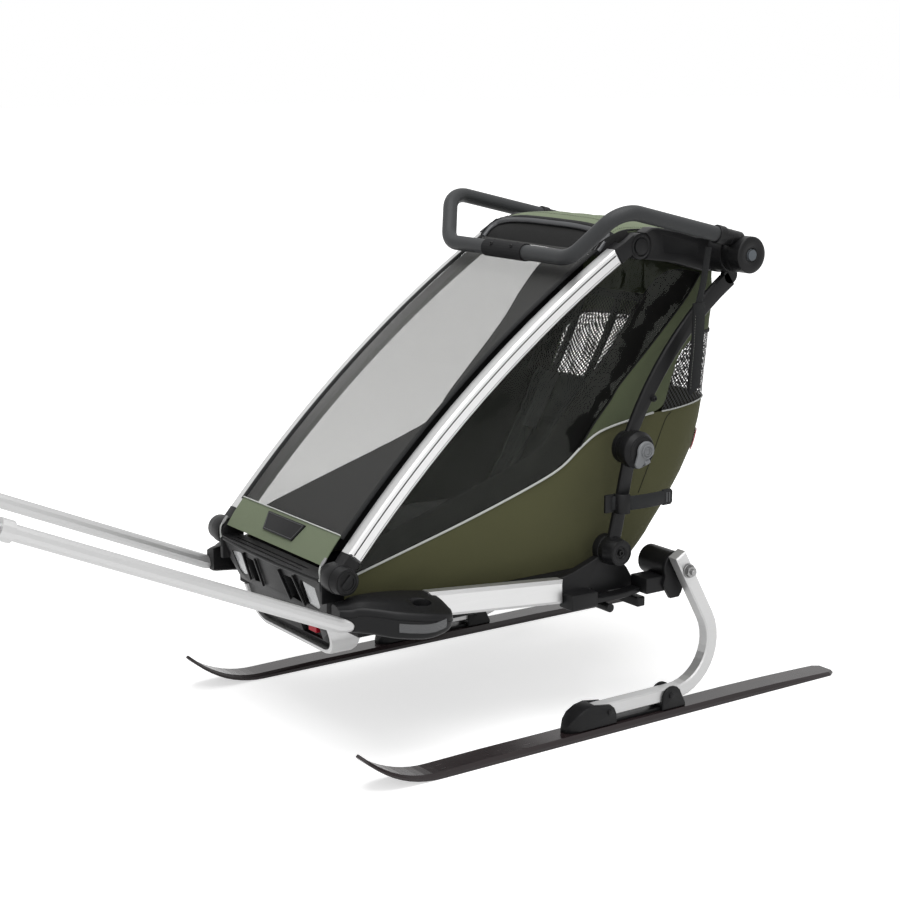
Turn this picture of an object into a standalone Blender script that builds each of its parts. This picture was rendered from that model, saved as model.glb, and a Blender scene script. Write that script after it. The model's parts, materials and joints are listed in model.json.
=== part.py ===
"""Single-seat child trailer standing on its cross-country ski kit, as an assembly of separate solids.

Metres, +Z up. The trailer faces -Y, and its left side is +X. Y is measured from a line across the
middle of the cabin, and one root empty then moves the whole to the centre of its own footprint.
"""

import math

import bmesh
import bpy
from mathutils import Matrix, Vector

SEAT_GAP = 0.0003  # between pieces that rest on each other
RUN_GAP = 0.0012  # between pieces that turn past each other
BAR_GAP = 0.0004  # between a roof arm and the push bar's hub, which turns on it

# Pivots of the folding frame, each as (Y, Z)
FRONT_PIVOT = (-0.455, 0.3315)
TOP_PIVOT = (0.1735, 0.844)
ELBOW = (0.1395, 0.486)
REAR_PIVOT = (0.099, 0.303)
HUB = (0.367, 0.824)
AXLE = (0.209, 0.266)

# Layers of the frame, from the cabin outwards along X
PILLAR_INNER = 0.180
PILLAR_WIDTH = 0.027
PILLAR_DEPTH = 0.030
PILLAR_OUTER = PILLAR_INNER + PILLAR_WIDTH
PILLAR_END = (TOP_PIVOT[0], TOP_PIVOT[1] + 0.0135)
PILLAR_RISE = 0.0358
PILLAR_FIRST, PILLAR_LAST = 0.050, 0.931
UPPER_POST_INNER = 0.214
UPPER_POST_WIDTH = 0.0113
LOWER_POST_WIDTH = 0.012
UPPER_POST_OUTER = UPPER_POST_INNER + UPPER_POST_WIDTH
LOWER_POST_INNER = UPPER_POST_OUTER + RUN_GAP
LOWER_POST_OUTER = LOWER_POST_INNER + LOWER_POST_WIDTH
POST_DEPTH = 0.027
POST_TOP_DEPTH = 0.034

# Top arms, corner joints and canopy
ARM_THICKNESS = 0.0277
ARM_LAP = 0.0142
ARM_HUB_RADIUS = 0.038
ARM_BOSS_RADIUS = 0.036
ARM_BOSS_OUTER = 0.2432
CORNER_RADIUS = 0.0235
CORNER_CAP_RADIUS = 0.0145
PLATE_RECESS = 0.001
# Lines beside the roof arm, as (share of the way from the top pivot to the hub, distance to its left).
ARM_TOP_LINE = [(0.1193, 0.0338), (0.1969, 0.0353), (0.4560, 0.0313), (0.6739, 0.0241), (0.8991, 0.0241)]
ARM_UNDER_LINE = [
    (0.9053, -0.0361), (0.7978, -0.0372), (0.6678, -0.0327), (0.4334, -0.0252), (0.2010, -0.0236)
]
NAME_RECESS = [
    (0.2447, 0.0240), (0.6991, 0.0117), (0.7253, -0.0080), (0.6565, -0.0115), (0.2889, -0.0098)
]
TONGUE_END = [(0.1835, -0.0144), (0.1645, 0.0214)]
PANEL_TOP_LINE = [(0.1522, -0.0291), (0.5166, -0.0338), (0.8323, -0.0446)]
ARM_NOSE = (-62.1, 73.9)  # the arc round the top pivot, from the same line
ARM_TONGUE = (95.9, 275.9)
POST_TOP = (HUB[0] + 0.013, HUB[1] - 0.0465)
POST_RISE = 0.0285
SCREW_RADIUS = 0.0062
SCREW_SITE = (ELBOW[0] + 0.056, ELBOW[1] + 0.084)
BOW_RADIUS = 0.010
BOW_END = (TOP_PIVOT[0] - 0.0395, TOP_PIVOT[1] - 0.006)
BOW_CREST = (TOP_PIVOT[0] - 0.0695, TOP_PIVOT[1] + 0.002)
CANOPY_THICKNESS = 0.004
CANOPY_CROWN = 0.018
# The roof line from the top pivot, with the share of the full crown at each station.
CANOPY_LINE = [
    (-0.0375, 0.0170, 1.0),
    (-0.0085, 0.0250, 1.0),
    (0.0515, 0.0225, 1.0),
    (0.1215, 0.0110, 0.85),
    (0.1885, -0.0060, 0.6),
]

# Handlebar
BAR_RADIUS = 0.014
BAR_X = 0.2585
BAR_FRONT = (HUB[0] - 0.336, HUB[1] + 0.005)
BAR_BEND = (HUB[0] - 0.281, HUB[1] + 0.093)
BAR_FRONT_X = 0.186
BAR_OVER_HUB = 0.026
BAR_BEND_RADIUS = 0.052
BAR_COLLAR_RADIUS = 0.0172
BAR_COLLAR_WIDTH = 0.018
GRIP_LENGTH = 0.118
GRIP_WALL = 0.0022
HUB_RADIUS = 0.0335
HUB_OUTER = 0.290
BUTTON_RADIUS = 0.0115
BUTTON_TRAVEL = 0.004

# Elbow and lower post
ELBOW_RADIUS = 0.034
ELBOW_CAP_WIDTH = 0.025
ELBOW_DISC_RADIUS = 0.030
LEVER_THICKNESS = 0.006
LEVER_EYE = 0.0185
LEVER_TAIL = 0.0075
LEVER_REACH = 0.027
REAR_HUB_RADIUS = 0.0270
REAR_CAP_WIDTH = 0.022
LATCH_HEIGHT = 0.034
LATCH_LEVEL = 0.376
LATCH_REACH = 0.216

# Chassis
RAIL_INNER = 0.2085
RAIL_WIDTH = 0.030
RAIL_DEPTH = 0.0445
RAIL_FRONT = -0.300
RAIL_REAR = -0.0123
RAIL_REAR_TOP = 0.2661
RAIL_SLOPE = -0.0865
CASTING_WIDTH = 0.0177
CROSSBAR_REACH = 0.258
CROSSBAR_SIDE = 0.018
TIE_RADIUS = 0.008
TUB_FLOOR = 0.226
TUB_RIM = 0.262
TUB_WALL = 0.022
TUB_REAR = 0.112
TUB_PLATE = 0.004
SEAT_HALF = 0.160
SEAT_FRONT = -0.195
SEAT_REAR = 0.098
SEAT_BOX_TOP = 0.300
CUSHION_HEIGHT = 0.050
BACK_FOOT_LEVEL = 0.3366
BACK_TOP = (0.262, 0.735)
BACK_THICKNESS = 0.030

# Front cradle, its nose and the hoop round the nose
CRADLE_HALF = PILLAR_INNER - 2 * SEAT_GAP
CRADLE_TOP = 0.330
CRADLE_WAIST = 0.250
CRADLE_REAR = -0.4445
CRADLE_LEAN = 0.330
CRADLE_BOW = 0.008
EAR_THICKNESS = 0.010
WINDOW_INNER, WINDOW_OUTER = 0.098, 0.146
WINDOW_LOW, WINDOW_HIGH = 0.262, 0.312
POCKET_DEPTH = 0.030
HOOP_HALF = 0.1455
HOOP_BAND = 0.0065
HOOP_BOTTOM = 0.170
HOOP_FOOT_FRONT = -0.424
HOOP_REAR = -0.379
HOOP_CORNER = 0.028
TUB_FRONT = HOOP_FOOT_FRONT
TAB_SIZE = (0.026, 0.014, 0.012)
TAB_X = 0.072
TAB_TOP = 0.216
TAB_TRAVEL = 0.005

# Pull poles
POLE_X = 0.2347
POLE_RADIUS = 0.013
POLE_LEVEL = 0.264
POLE_BEND_Y = -0.475
POLE_BEND_RADIUS = 0.050
POLE_SLOPE = 23.6
POLE_LENGTH = 0.622
POLE_SOCKET = 0.115
POLE_INSERT_RADIUS = 0.0100
POLE_INSERT_GAP = 0.0003
POLE_OVERLAP = 0.420
POLE_REACH = 0.300
POLE_COLLAR_RADIUS = 0.0175
POLE_COLLAR_WIDTH = 0.022
EYE_RADIUS = 0.013
EYE_HOLE = 0.006

# Suspension, ski arms and skis
LEAF_INNER = 0.2315
LEAF_WIDTH = 0.026
LEAF_THICKNESS = 0.009
LEAF_FRONT = (0.0480, 0.2225)
LEAF_REAR = (0.192, 0.2365)
LEAF_SAG = 0.007
DRUM_RADIUS = 0.027
DRUM_INNER = 0.2095
FLANGE_INNER = 0.2760
FLANGE_THICKNESS = 0.010
AXLE_RADIUS = 0.009
BOLT_RADIUS = 0.005
NUT_RADIUS = 0.009
SKI_X = 0.305
SKI_WIDTH = 0.058
SKI_THICKNESS = 0.012
SKI_END_THICKNESS = 0.005
SKI_FRONT = -0.490
SKI_REAR = 0.586
SKI_TIP_LENGTH = 0.150
SKI_TIP_HEIGHT = 0.062
ARM_TUBE = 0.025
ARM_SLOPE = 60.6
ARM_BEND_RADIUS = 0.089
ARM_PAST_AXLE = 0.036
ARM_FRONT = -0.005
BRACKET_BASE = 0.014
BRACKET_WIDTH = 0.038
BRACKET_BOLT_RADIUS = 0.0055

# Groove down the pillar, its foot with the slotted dial, and where the corner block starts
GROOVE_FROM_FRONT = 0.009
GROOVE_WIDTH = 0.002
FOOT_RADIUS = 0.0255
CAP_RADIUS = 0.0225
CAP_WIDTH = 0.018
DIAL_RADIUS = 0.0135
DIAL_GROOVE = 0.0025
BLOCK_LAST = 0.954

# Release button, front cover with its net, and the foot of its flap
BUTTON_LENGTH = 0.0075
COVER_INSET = 0.0025
COVER_OFFSET = 0.021
MESH_FIRST, MESH_LAST = 0.072, 0.910
FLAP_FOOT = (-0.4665, 0.3475)

# Crossbar and tie bar
CROSSBAR_FRONT = 0.1415
CROSSBAR_TOP = 0.2120
TIE_CENTRE = (0.078, 0.2035)

# Cabin cloth and its seam, as (Y, Z) from the top down
PANEL_INNER = 0.1725
PANEL_THICKNESS = 0.004
SEAM = [
    (0.370, 0.815), (0.362, 0.775), (0.352, 0.725), (0.255, 0.570), (0.235, 0.525), (0.165, 0.400),
    (0.140, 0.330), (0.128, 0.2923),
]
SEAM_FOOT = (0.118, TUB_RIM + SEAT_GAP)

# Brackets on the ski, front and rear end of each along Y
BRACKET_PIN = 0.0035
FRONT_BRACKET_FRONT = -0.065
FRONT_BRACKET_REAR = 0.044
REAR_BRACKET_FRONT = 0.150
REAR_BRACKET_REAR = 0.206

PARTS = None
HELPERS = None
FINISHES = {}


def clear_scene():
    for obj in list(bpy.data.objects):
        bpy.data.objects.remove(obj, do_unlink=True)


def make_collections():
    """One collection for the pieces, and a hidden one for what cuts or joins them."""
    global PARTS, HELPERS
    PARTS = bpy.data.collections.new("child_trailer")
    HELPERS = bpy.data.collections.new("helpers")
    for collection in (PARTS, HELPERS):
        bpy.context.scene.collection.children.link(collection)


def finish(name, colour, roughness, metallic=0.0):
    """A Principled material, made once and shared."""
    if name not in FINISHES:
        material = bpy.data.materials.new(name)
        material.use_nodes = True
        shader = material.node_tree.nodes["Principled BSDF"]
        shader.inputs["Base Color"].default_value = (*colour, 1)
        shader.inputs["Roughness"].default_value = roughness
        shader.inputs["Metallic"].default_value = metallic
        FINISHES[name] = material
    return FINISHES[name]


def black_plastic():
    return finish("black_plastic", (0.035, 0.035, 0.037), 0.5)


def aluminium():
    return finish("aluminium", (0.78, 0.78, 0.78), 0.35, 1.0)


def add(name, mesh, look, smooth_angle=35):
    """Puts a mesh in the scene as one piece, with smooth round faces and sharp corners."""
    mesh.materials.clear()
    mesh.materials.append(look)
    mesh.shade_smooth()
    mesh.set_sharp_from_angle(angle=math.radians(smooth_angle))
    obj = bpy.data.objects.new(name, mesh)
    PARTS.objects.link(obj)
    return obj


def mesh_from(name, bm):
    bm.normal_update()
    bmesh.ops.recalc_face_normals(bm, faces=bm.faces)
    mesh = bpy.data.meshes.new(name)
    bm.to_mesh(mesh)
    bm.free()
    return mesh


def mesh_of_curve(name, curve, matrix):
    """A closed mesh of a curve, with its loose caps welded on."""
    obj = bpy.data.objects.new(name, curve)
    PARTS.objects.link(obj)
    obj.matrix_world = matrix
    bpy.context.view_layer.update()
    evaluated = obj.evaluated_get(bpy.context.evaluated_depsgraph_get())
    mesh = bpy.data.meshes.new_from_object(evaluated)
    mesh.transform(matrix)
    bpy.data.objects.remove(obj, do_unlink=True)
    bm = bmesh.new()
    bm.from_mesh(mesh)
    bmesh.ops.remove_doubles(bm, verts=bm.verts, dist=0.00001)
    bpy.data.meshes.remove(mesh)
    return mesh_from(name, bm)


# Which way a flat outline's own two axes and its thickness point
PLANES = {
    "YZ": Matrix(((0, 0, 1, 0), (1, 0, 0, 0), (0, 1, 0, 0), (0, 0, 0, 1))),
    "XY": Matrix.Identity(4),
    "XZ": Matrix(((1, 0, 0, 0), (0, 0, -1, 0), (0, 1, 0, 0), (0, 0, 0, 1))),
}


def plate(name, outline, low, high, look, edge=0.0, plane="YZ"):
    """A flat outline in a plane, as thick as from low to high, with chamfered edges."""
    curve = bpy.data.curves.new(name, "CURVE")
    curve.dimensions = "2D"
    curve.fill_mode = "BOTH"
    curve.extrude = abs(high - low) / 2 - edge
    curve.bevel_depth = edge
    curve.bevel_resolution = 0
    curve.offset = -edge
    spline = curve.splines.new("POLY")
    spline.points.add(len(outline) - 1)
    for point, (along, up) in zip(spline.points, outline):
        point.co = (along, up, 0, 1)
    spline.use_cyclic_u = True
    middle = (low + high) / 2 if plane != "XZ" else -(low + high) / 2
    matrix = PLANES[plane] @ Matrix.Translation((0, 0, middle))
    return add(name, mesh_of_curve(name, curve, matrix), look)


def tube(name, points, radius, look, resolution=4):
    """A round bar along a list of 3-D points."""
    curve = bpy.data.curves.new(name, "CURVE")
    curve.dimensions = "3D"
    curve.bevel_depth = radius
    curve.bevel_resolution = resolution
    curve.use_fill_caps = True
    spline = curve.splines.new("POLY")
    spline.points.add(len(points) - 1)
    for point, place in zip(spline.points, points):
        point.co = (*place, 1)
    return add(name, mesh_of_curve(name, curve, Matrix.Identity(4)), look)


def cylinder(name, start, end, radius, look, end_radius=None, segments=24):
    """A straight round bar or cone between two 3-D points."""
    start, end = Vector(start), Vector(end)
    bm = bmesh.new()
    bmesh.ops.create_cone(
        bm,
        cap_ends=True,
        segments=segments,
        radius1=radius,
        radius2=radius if end_radius is None else end_radius,
        depth=(end - start).length,
    )
    turn = (end - start).to_track_quat("Z", "Y").to_matrix().to_4x4()
    bm.transform(Matrix.Translation((start + end) / 2) @ turn)
    return add(name, mesh_from(name, bm), look)


def disc(name, centre, low_x, high_x, radius, look, segments=24, end_radius=None):
    """A round boss across the trailer, from one X to another."""
    return cylinder(name, (low_x, *centre), (high_x, *centre), radius, look, end_radius, segments)


def block(name, low, high, look, edge=0.0):
    """A box between two corners, with its edges chamfered."""
    low, high = Vector(low), Vector(high)
    bm = bmesh.new()
    bmesh.ops.create_cube(bm, size=1)
    size = high - low
    bm.transform(Matrix.Translation((low + high) / 2) @ Matrix.Diagonal((*[abs(s) for s in size], 1)))
    if edge:
        bmesh.ops.bevel(bm, geom=bm.edges, offset=edge, segments=1, affect="EDGES")
    return add(name, mesh_from(name, bm), look)


def loft(name, rings, look, smooth_angle=35):
    """A closed skin through rings that have the same number of points."""
    bm = bmesh.new()
    loops = [[bm.verts.new(point) for point in ring] for ring in rings]
    count = len(loops[0])
    for before, after in zip(loops, loops[1:]):
        for i in range(count):
            j = (i + 1) % count
            bm.faces.new((before[i], before[j], after[j], after[i]))
    bm.faces.new(loops[0])
    bm.faces.new(loops[-1])
    return add(name, mesh_from(name, bm), look, smooth_angle)


def helper(obj):
    """Marks a piece as one that only cuts or joins another."""
    PARTS.objects.unlink(obj)
    HELPERS.objects.link(obj)
    obj.hide_render = True
    obj.display_type = "WIRE"
    return obj


def combine(obj, operation, others):
    for other in others:
        modifier = obj.modifiers.new(f"{operation}_{other.name}", "BOOLEAN")
        modifier.operation = operation
        modifier.solver = "EXACT"
        modifier.object = helper(other)
    return obj


def unite(obj, *others):
    return combine(obj, "UNION", others)


def cut(obj, *others):
    return combine(obj, "DIFFERENCE", others)


def polar(centre, radius, degrees):
    angle = math.radians(degrees)
    return (centre[0] + radius * math.cos(angle), centre[1] + radius * math.sin(angle))


def arc(centre, radius, start, end, steps):
    """Points of an arc, from one angle in degrees to another."""
    return [polar(centre, radius, start + (end - start) * i / steps) for i in range(steps + 1)]


def bowed(start, end, rise, steps, first=0.0, last=1.0):
    """Points on the arc from start to end that rises to the left of its chord.

    first and last pick a stretch of it, as shares of the whole.
    """
    start, end = Vector(start), Vector(end)
    chord = end - start
    along = chord.normalized()
    left = Vector((-along.y, along.x))
    radius = (chord.length_squared / 4 + rise * rise) / (2 * rise)
    centre = (start + end) / 2 + left * (rise - radius)
    half = math.asin(chord.length / 2 / radius)
    points = []
    for i in range(steps + 1):
        share = first + (last - first) * i / steps
        turn = half * (2 * share - 1)
        points.append(tuple(centre + left * radius * math.cos(turn) + along * radius * math.sin(turn)))
    return points


def offset_path(path, distance):
    """The path moved to its left by a distance."""
    moved = []
    for i, point in enumerate(path):
        before = Vector(path[max(i - 1, 0)])
        after = Vector(path[min(i + 1, len(path) - 1)])
        along = (after - before).normalized()
        moved.append((point[0] - along.y * distance, point[1] + along.x * distance))
    return moved


def ribbon(path, width, last_width=None):
    """The outline of a strip along a path, of one width or widening steadily to a last one."""
    growth = 0 if last_width is None else (last_width - width) / 2 / (len(path) - 1)
    left, right = [], []
    for i, point in enumerate(path):
        half = width / 2 + growth * i
        left.append(offset_path(path, half)[i])
        right.append(offset_path(path, -half)[i])
    return right + left[::-1]


def rounded(points, radius, steps=6):
    """An open 2-D or 3-D path whose inner corners are arcs of one radius."""
    points = [Vector(p) for p in points]
    path = [points[0]]
    for before, corner, after in zip(points, points[1:], points[2:]):
        first, second = (before - corner).normalized(), (after - corner).normalized()
        half = first.angle(second) / 2
        reach = radius / math.tan(half)
        centre = corner + (first + second).normalized() * radius / math.sin(half)
        start, end = corner + first * reach - centre, corner + second * reach - centre
        sweep = start.angle(end)
        for i in range(steps + 1):
            a = sweep * i / steps
            path.append(centre + (start * math.sin(sweep - a) + end * math.sin(a)) / math.sin(sweep))
    path.append(points[-1])
    return [tuple(p) for p in path]


def beside(start, end, points):
    """Points given as (share of the way from start to end, distance to the left of that line)."""
    start = Vector(start)
    along = Vector(end) - start
    left = Vector((-along.y, along.x)).normalized()
    return [tuple(start + along * a + left * b) for a, b in points]


def arm_lean():
    """The slope in degrees of the line from the top pivot to the hub."""
    return math.degrees(math.atan2(HUB[1] - TOP_PIVOT[1], HUB[0] - TOP_PIVOT[0]))


def sides():
    """The left and the right copy of a piece: its name ending and the sign of its X."""
    return (("left", 1), ("right", -1))


def frame_arc(first, last, steps):
    """A stretch of the pillar's centre line, as shares of the way up from the front pivot."""
    return bowed(FRONT_PIVOT, PILLAR_END, PILLAR_RISE, steps, first, last)


def make_pillar(side, s):
    """The bowed front extrusion, with the groove that runs down its outer face."""
    path = frame_arc(PILLAR_FIRST, PILLAR_LAST, 14)
    pillar = plate(
        f"pillar_{side}", ribbon(path, PILLAR_DEPTH), s * PILLAR_INNER, s * PILLAR_OUTER, aluminium(), 0.003
    )
    line = offset_path(frame_arc(0.0, 1.0, 18), PILLAR_DEPTH / 2 - GROOVE_FROM_FRONT)
    groove = plate(
        f"groove_{side}",
        ribbon(line, GROOVE_WIDTH),
        s * (PILLAR_OUTER - 0.0015),
        s * (PILLAR_OUTER + 0.002),
        black_plastic(),
    )
    return cut(pillar, groove)


def make_pillar_foot(side, s):
    """The plug in the pillar's lower end, whose drum turns on the cradle's ear, and its round dial."""
    last = PILLAR_FIRST - SEAT_GAP / math.dist(FRONT_PIVOT, PILLAR_END)
    path = frame_arc(0.0, last, 3)
    look = black_plastic()
    foot = plate(
        f"pillar_foot_{side}", ribbon(path, PILLAR_DEPTH), s * PILLAR_INNER, s * PILLAR_OUTER, look, 0.002
    )
    drum = disc(f"foot_drum_{side}", FRONT_PIVOT, s * PILLAR_INNER, s * PILLAR_OUTER, FOOT_RADIUS, look)
    outer = PILLAR_OUTER + CAP_WIDTH
    cap = disc(
        f"pivot_cap_{side}",
        FRONT_PIVOT,
        s * (PILLAR_OUTER - 0.001),
        s * outer,
        FOOT_RADIUS - 0.001,
        look,
        end_radius=CAP_RADIUS,
    )
    ring = disc(
        f"dial_ring_{side}",
        FRONT_PIVOT,
        s * (outer - DIAL_GROOVE),
        s * (outer + 0.002),
        DIAL_RADIUS,
        look,
    )
    bar = [polar(FRONT_PIVOT, DIAL_RADIUS, 225), polar(FRONT_PIVOT, DIAL_RADIUS, 45)]
    dial_bar = plate(
        f"dial_bar_{side}",
        ribbon(bar, DIAL_RADIUS * 0.6),
        s * (outer - DIAL_GROOVE - 0.001),
        s * (outer + 0.0015),
        look,
        0.001,
    )
    return unite(cut(unite(foot, drum, cap), ring), dial_bar)


def make_corner_joint(side, s):
    """The moulded corner on the pillar's upper end, whose boss covers the top pivot."""
    lap_outer = PILLAR_INNER + ARM_LAP + SEAT_GAP
    outer = arm_outer()
    first = PILLAR_LAST + SEAT_GAP / math.dist(FRONT_PIVOT, PILLAR_END)
    joint = plate(
        f"corner_joint_{side}",
        ribbon(frame_arc(first, BLOCK_LAST, 2), PILLAR_DEPTH + 0.001),
        s * PILLAR_INNER,
        s * outer,
        black_plastic(),
        0.002,
    )
    cheek = plate(
        f"corner_cheek_{side}",
        ribbon(frame_arc(BLOCK_LAST - 0.012, 0.988, 3), PILLAR_DEPTH),
        s * lap_outer,
        s * outer,
        black_plastic(),
        0.001,
    )
    boss = disc(
        f"corner_boss_{side}", TOP_PIVOT, s * lap_outer, s * outer, CORNER_RADIUS, black_plastic()
    )
    cap = disc(
        f"corner_cap_{side}",
        TOP_PIVOT,
        s * (outer - 0.001),
        s * (outer + 0.0035),
        CORNER_CAP_RADIUS,
        black_plastic(),
    )
    return unite(joint, cheek, boss, cap)


def arm_outer():
    return PILLAR_INNER + ARM_THICKNESS


def make_top_arm(side, s):
    """The side arm of the roof: a lap at the top pivot, a bare name recess and the handlebar's disc."""
    inner, outer = PILLAR_INNER, arm_outer()
    lean = arm_lean()
    front = arc(TOP_PIVOT, CORNER_RADIUS + 0.002, lean + ARM_NOSE[0], lean + ARM_NOSE[1], 7)
    top = beside(TOP_PIVOT, HUB, ARM_TOP_LINE)
    bottom = beside(TOP_PIVOT, HUB, ARM_UNDER_LINE)
    arm = plate(f"top_arm_{side}", front + top + bottom, s * inner, s * outer, black_plastic(), 0.0025)
    wheel = disc(f"arm_disc_{side}", HUB, s * inner, s * outer, ARM_HUB_RADIUS, black_plastic(), 32)
    boss = disc(
        f"arm_boss_{side}",
        HUB,
        s * (outer - 0.001),
        s * ARM_BOSS_OUTER,
        ARM_BOSS_RADIUS,
        black_plastic(),
        32,
    )
    tongue = arc(TOP_PIVOT, CORNER_RADIUS, lean + ARM_TONGUE[0], lean + ARM_TONGUE[1], 10)
    tongue += beside(TOP_PIVOT, HUB, TONGUE_END)
    lap = plate(f"arm_lap_{side}", tongue, s * (inner + 0.0001), s * (inner + ARM_LAP), black_plastic())
    recess = plate(
        f"name_recess_{side}",
        beside(TOP_PIVOT, HUB, NAME_RECESS),
        s * (outer - PLATE_RECESS),
        s * (outer + 0.002),
        black_plastic(),
    )
    return cut(unite(arm, wheel, boss, lap), recess)


def make_upper_post(side, s):
    """The bowed post from the top arm down to the elbow, with its round end."""
    path = bowed(ELBOW, POST_TOP, POST_RISE, 10)
    post = plate(
        f"upper_post_{side}",
        ribbon(path, POST_DEPTH, POST_TOP_DEPTH),
        s * UPPER_POST_INNER,
        s * UPPER_POST_OUTER,
        black_plastic(),
        0.003,
    )
    end = disc(
        f"upper_end_{side}",
        ELBOW,
        s * UPPER_POST_INNER,
        s * UPPER_POST_OUTER,
        ELBOW_DISC_RADIUS,
        black_plastic(),
    )
    screw = disc(
        f"post_screw_{side}",
        SCREW_SITE,
        s * (UPPER_POST_OUTER - 0.002),
        s * (UPPER_POST_OUTER + 0.004),
        SCREW_RADIUS,
        black_plastic(),
        12,
    )
    room = disc(
        f"post_room_{side}",
        HUB,
        s * (UPPER_POST_INNER - 0.01),
        s * (UPPER_POST_OUTER + 0.01),
        ARM_BOSS_RADIUS + SEAT_GAP,
        black_plastic(),
        64,
    )
    return unite(cut(post, room), end, screw)


def make_elbow_cap(side, s):
    """The domed outer half of the elbow, which carries the release lever."""
    inner = LOWER_POST_OUTER + SEAT_GAP
    mid = inner + ELBOW_CAP_WIDTH * 0.65
    cap = disc(f"elbow_cap_{side}", ELBOW, s * inner, s * mid, ELBOW_RADIUS, black_plastic(), 28)
    dome = disc(
        f"elbow_dome_{side}",
        ELBOW,
        s * (mid - 0.0005),
        s * (inner + ELBOW_CAP_WIDTH),
        ELBOW_RADIUS,
        black_plastic(),
        28,
        ELBOW_RADIUS - 0.006,
    )
    return unite(cap, dome)


def lever_pivot():
    return (ELBOW[0] + 0.0055, ELBOW[1] - 0.0008)


def make_elbow_lever(side, s):
    """The teardrop release lever on the elbow, with the finger pad at its tail."""
    inner = LOWER_POST_OUTER + ELBOW_CAP_WIDTH + 2 * SEAT_GAP
    outer = inner + LEVER_THICKNESS
    centre = lever_pivot()
    tail = polar(centre, LEVER_REACH, 232)
    outline = arc(centre, LEVER_EYE, -20, 190, 14) + arc(tail, LEVER_TAIL, 175, 305, 6)
    look = finish("grey_plastic", (0.22, 0.22, 0.23), 0.45)
    lever = plate(f"elbow_lever_{side}", outline, s * inner, s * outer, look, 0.0012)
    eye = disc(f"lever_eye_{side}", centre, s * (outer - 0.001), s * (outer + 0.0012), 0.009, look, 20)
    pad_centre = polar(centre, LEVER_REACH * 0.72, 275)
    pad = plate(
        f"lever_pad_{side}",
        ribbon([polar(pad_centre, 0.006, 200), polar(pad_centre, 0.006, 20)], 0.007),
        s * (inner + 0.001),
        s * (outer + 0.002),
        look,
        0.001,
    )
    return unite(lever, eye, pad)


def make_lower_post(side, s):
    """The short post between elbow and chassis, with a disc at each end and the lower hub's cap."""
    look = finish("dark_aluminium", (0.075, 0.075, 0.08), 0.4, 0.8)
    post = plate(
        f"lower_post_{side}",
        ribbon([REAR_PIVOT, ELBOW], POST_DEPTH),
        s * LOWER_POST_INNER,
        s * LOWER_POST_OUTER,
        look,
        0.003,
    )
    top = disc(
        f"lower_top_{side}", ELBOW, s * LOWER_POST_INNER, s * LOWER_POST_OUTER, ELBOW_DISC_RADIUS, look
    )
    foot = disc(
        f"lower_foot_{side}",
        REAR_PIVOT,
        s * LOWER_POST_INNER,
        s * LOWER_POST_OUTER,
        REAR_HUB_RADIUS,
        look,
    )
    cap = disc(
        f"lower_cap_{side}",
        REAR_PIVOT,
        s * (LOWER_POST_OUTER - 0.001),
        s * (LOWER_POST_OUTER + REAR_CAP_WIDTH),
        REAR_HUB_RADIUS,
        look,
        28,
        REAR_HUB_RADIUS - 0.004,
    )
    dimple = disc(
        f"lower_dimple_{side}",
        REAR_PIVOT,
        s * (LOWER_POST_OUTER + REAR_CAP_WIDTH - 0.003),
        s * (LOWER_POST_OUTER + REAR_CAP_WIDTH + 0.002),
        0.009,
        look,
        16,
        0.012,
    )
    return cut(unite(post, top, foot, cap), dimple)


def make_strap_latch(side, s):
    """The rubber strap on the lower post: a clip on the post and a tongue that ends in a thumb loop."""
    x0 = LOWER_POST_OUTER + SEAT_GAP
    half = POST_DEPTH / 2
    share = (LATCH_LEVEL + LATCH_HEIGHT / 2 - REAR_PIVOT[1]) / (ELBOW[1] - REAR_PIVOT[1])
    middle = REAR_PIVOT[0] + (ELBOW[0] - REAR_PIVOT[0]) * share
    front = middle - half - 0.035
    outline = [
        (x0, front),
        (x0 + 0.004, front - 0.002),
        (x0 + 0.005, middle - half - 0.010),
        (x0 + 0.016, middle - half),
        (x0 + 0.024, middle + 0.004),
        (x0 + 0.027, middle + 0.040),
        (x0 + 0.024, LATCH_REACH - 0.028),
        (x0 + 0.026, LATCH_REACH - 0.026),
        (x0 + 0.024, LATCH_REACH),
        (x0 + 0.018, LATCH_REACH),
        (x0 + 0.020, LATCH_REACH - 0.028),
        (x0 + 0.023, middle + 0.040),
        (x0 + 0.019, middle + 0.012),
        (x0 + 0.008, middle + half),
        (x0, middle + half),
    ]
    look = finish("rubber", (0.045, 0.045, 0.047), 0.6)
    return plate(
        f"strap_latch_{side}",
        [(s * x, y) for x, y in outline],
        LATCH_LEVEL,
        LATCH_LEVEL + LATCH_HEIGHT,
        look,
        0.0008,
        "XY",
    )


def handlebar_path():
    """The bar's centre line, from the left hub round the front to the right hub."""
    side_slope = (BAR_BEND[1] - HUB[1] - BAR_OVER_HUB) / (BAR_BEND[0] - HUB[0])
    hub_end = (HUB[0] - 0.004, HUB[1] + BAR_OVER_HUB - 0.004 * side_slope)
    corners = [
        (BAR_X, *hub_end),
        (BAR_X, *BAR_BEND),
        (BAR_FRONT_X, *BAR_FRONT),
        (-BAR_FRONT_X, *BAR_FRONT),
        (-BAR_X, *BAR_BEND),
        (-BAR_X, *hub_end),
    ]
    return rounded(corners, BAR_BEND_RADIUS, 6)


def along_bar(distance):
    """A point on the bar's straight side, so far in front of its hub end."""
    path = [Vector(p) for p in handlebar_path()]
    return path[0] + (path[1] - path[0]).normalized() * distance


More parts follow.
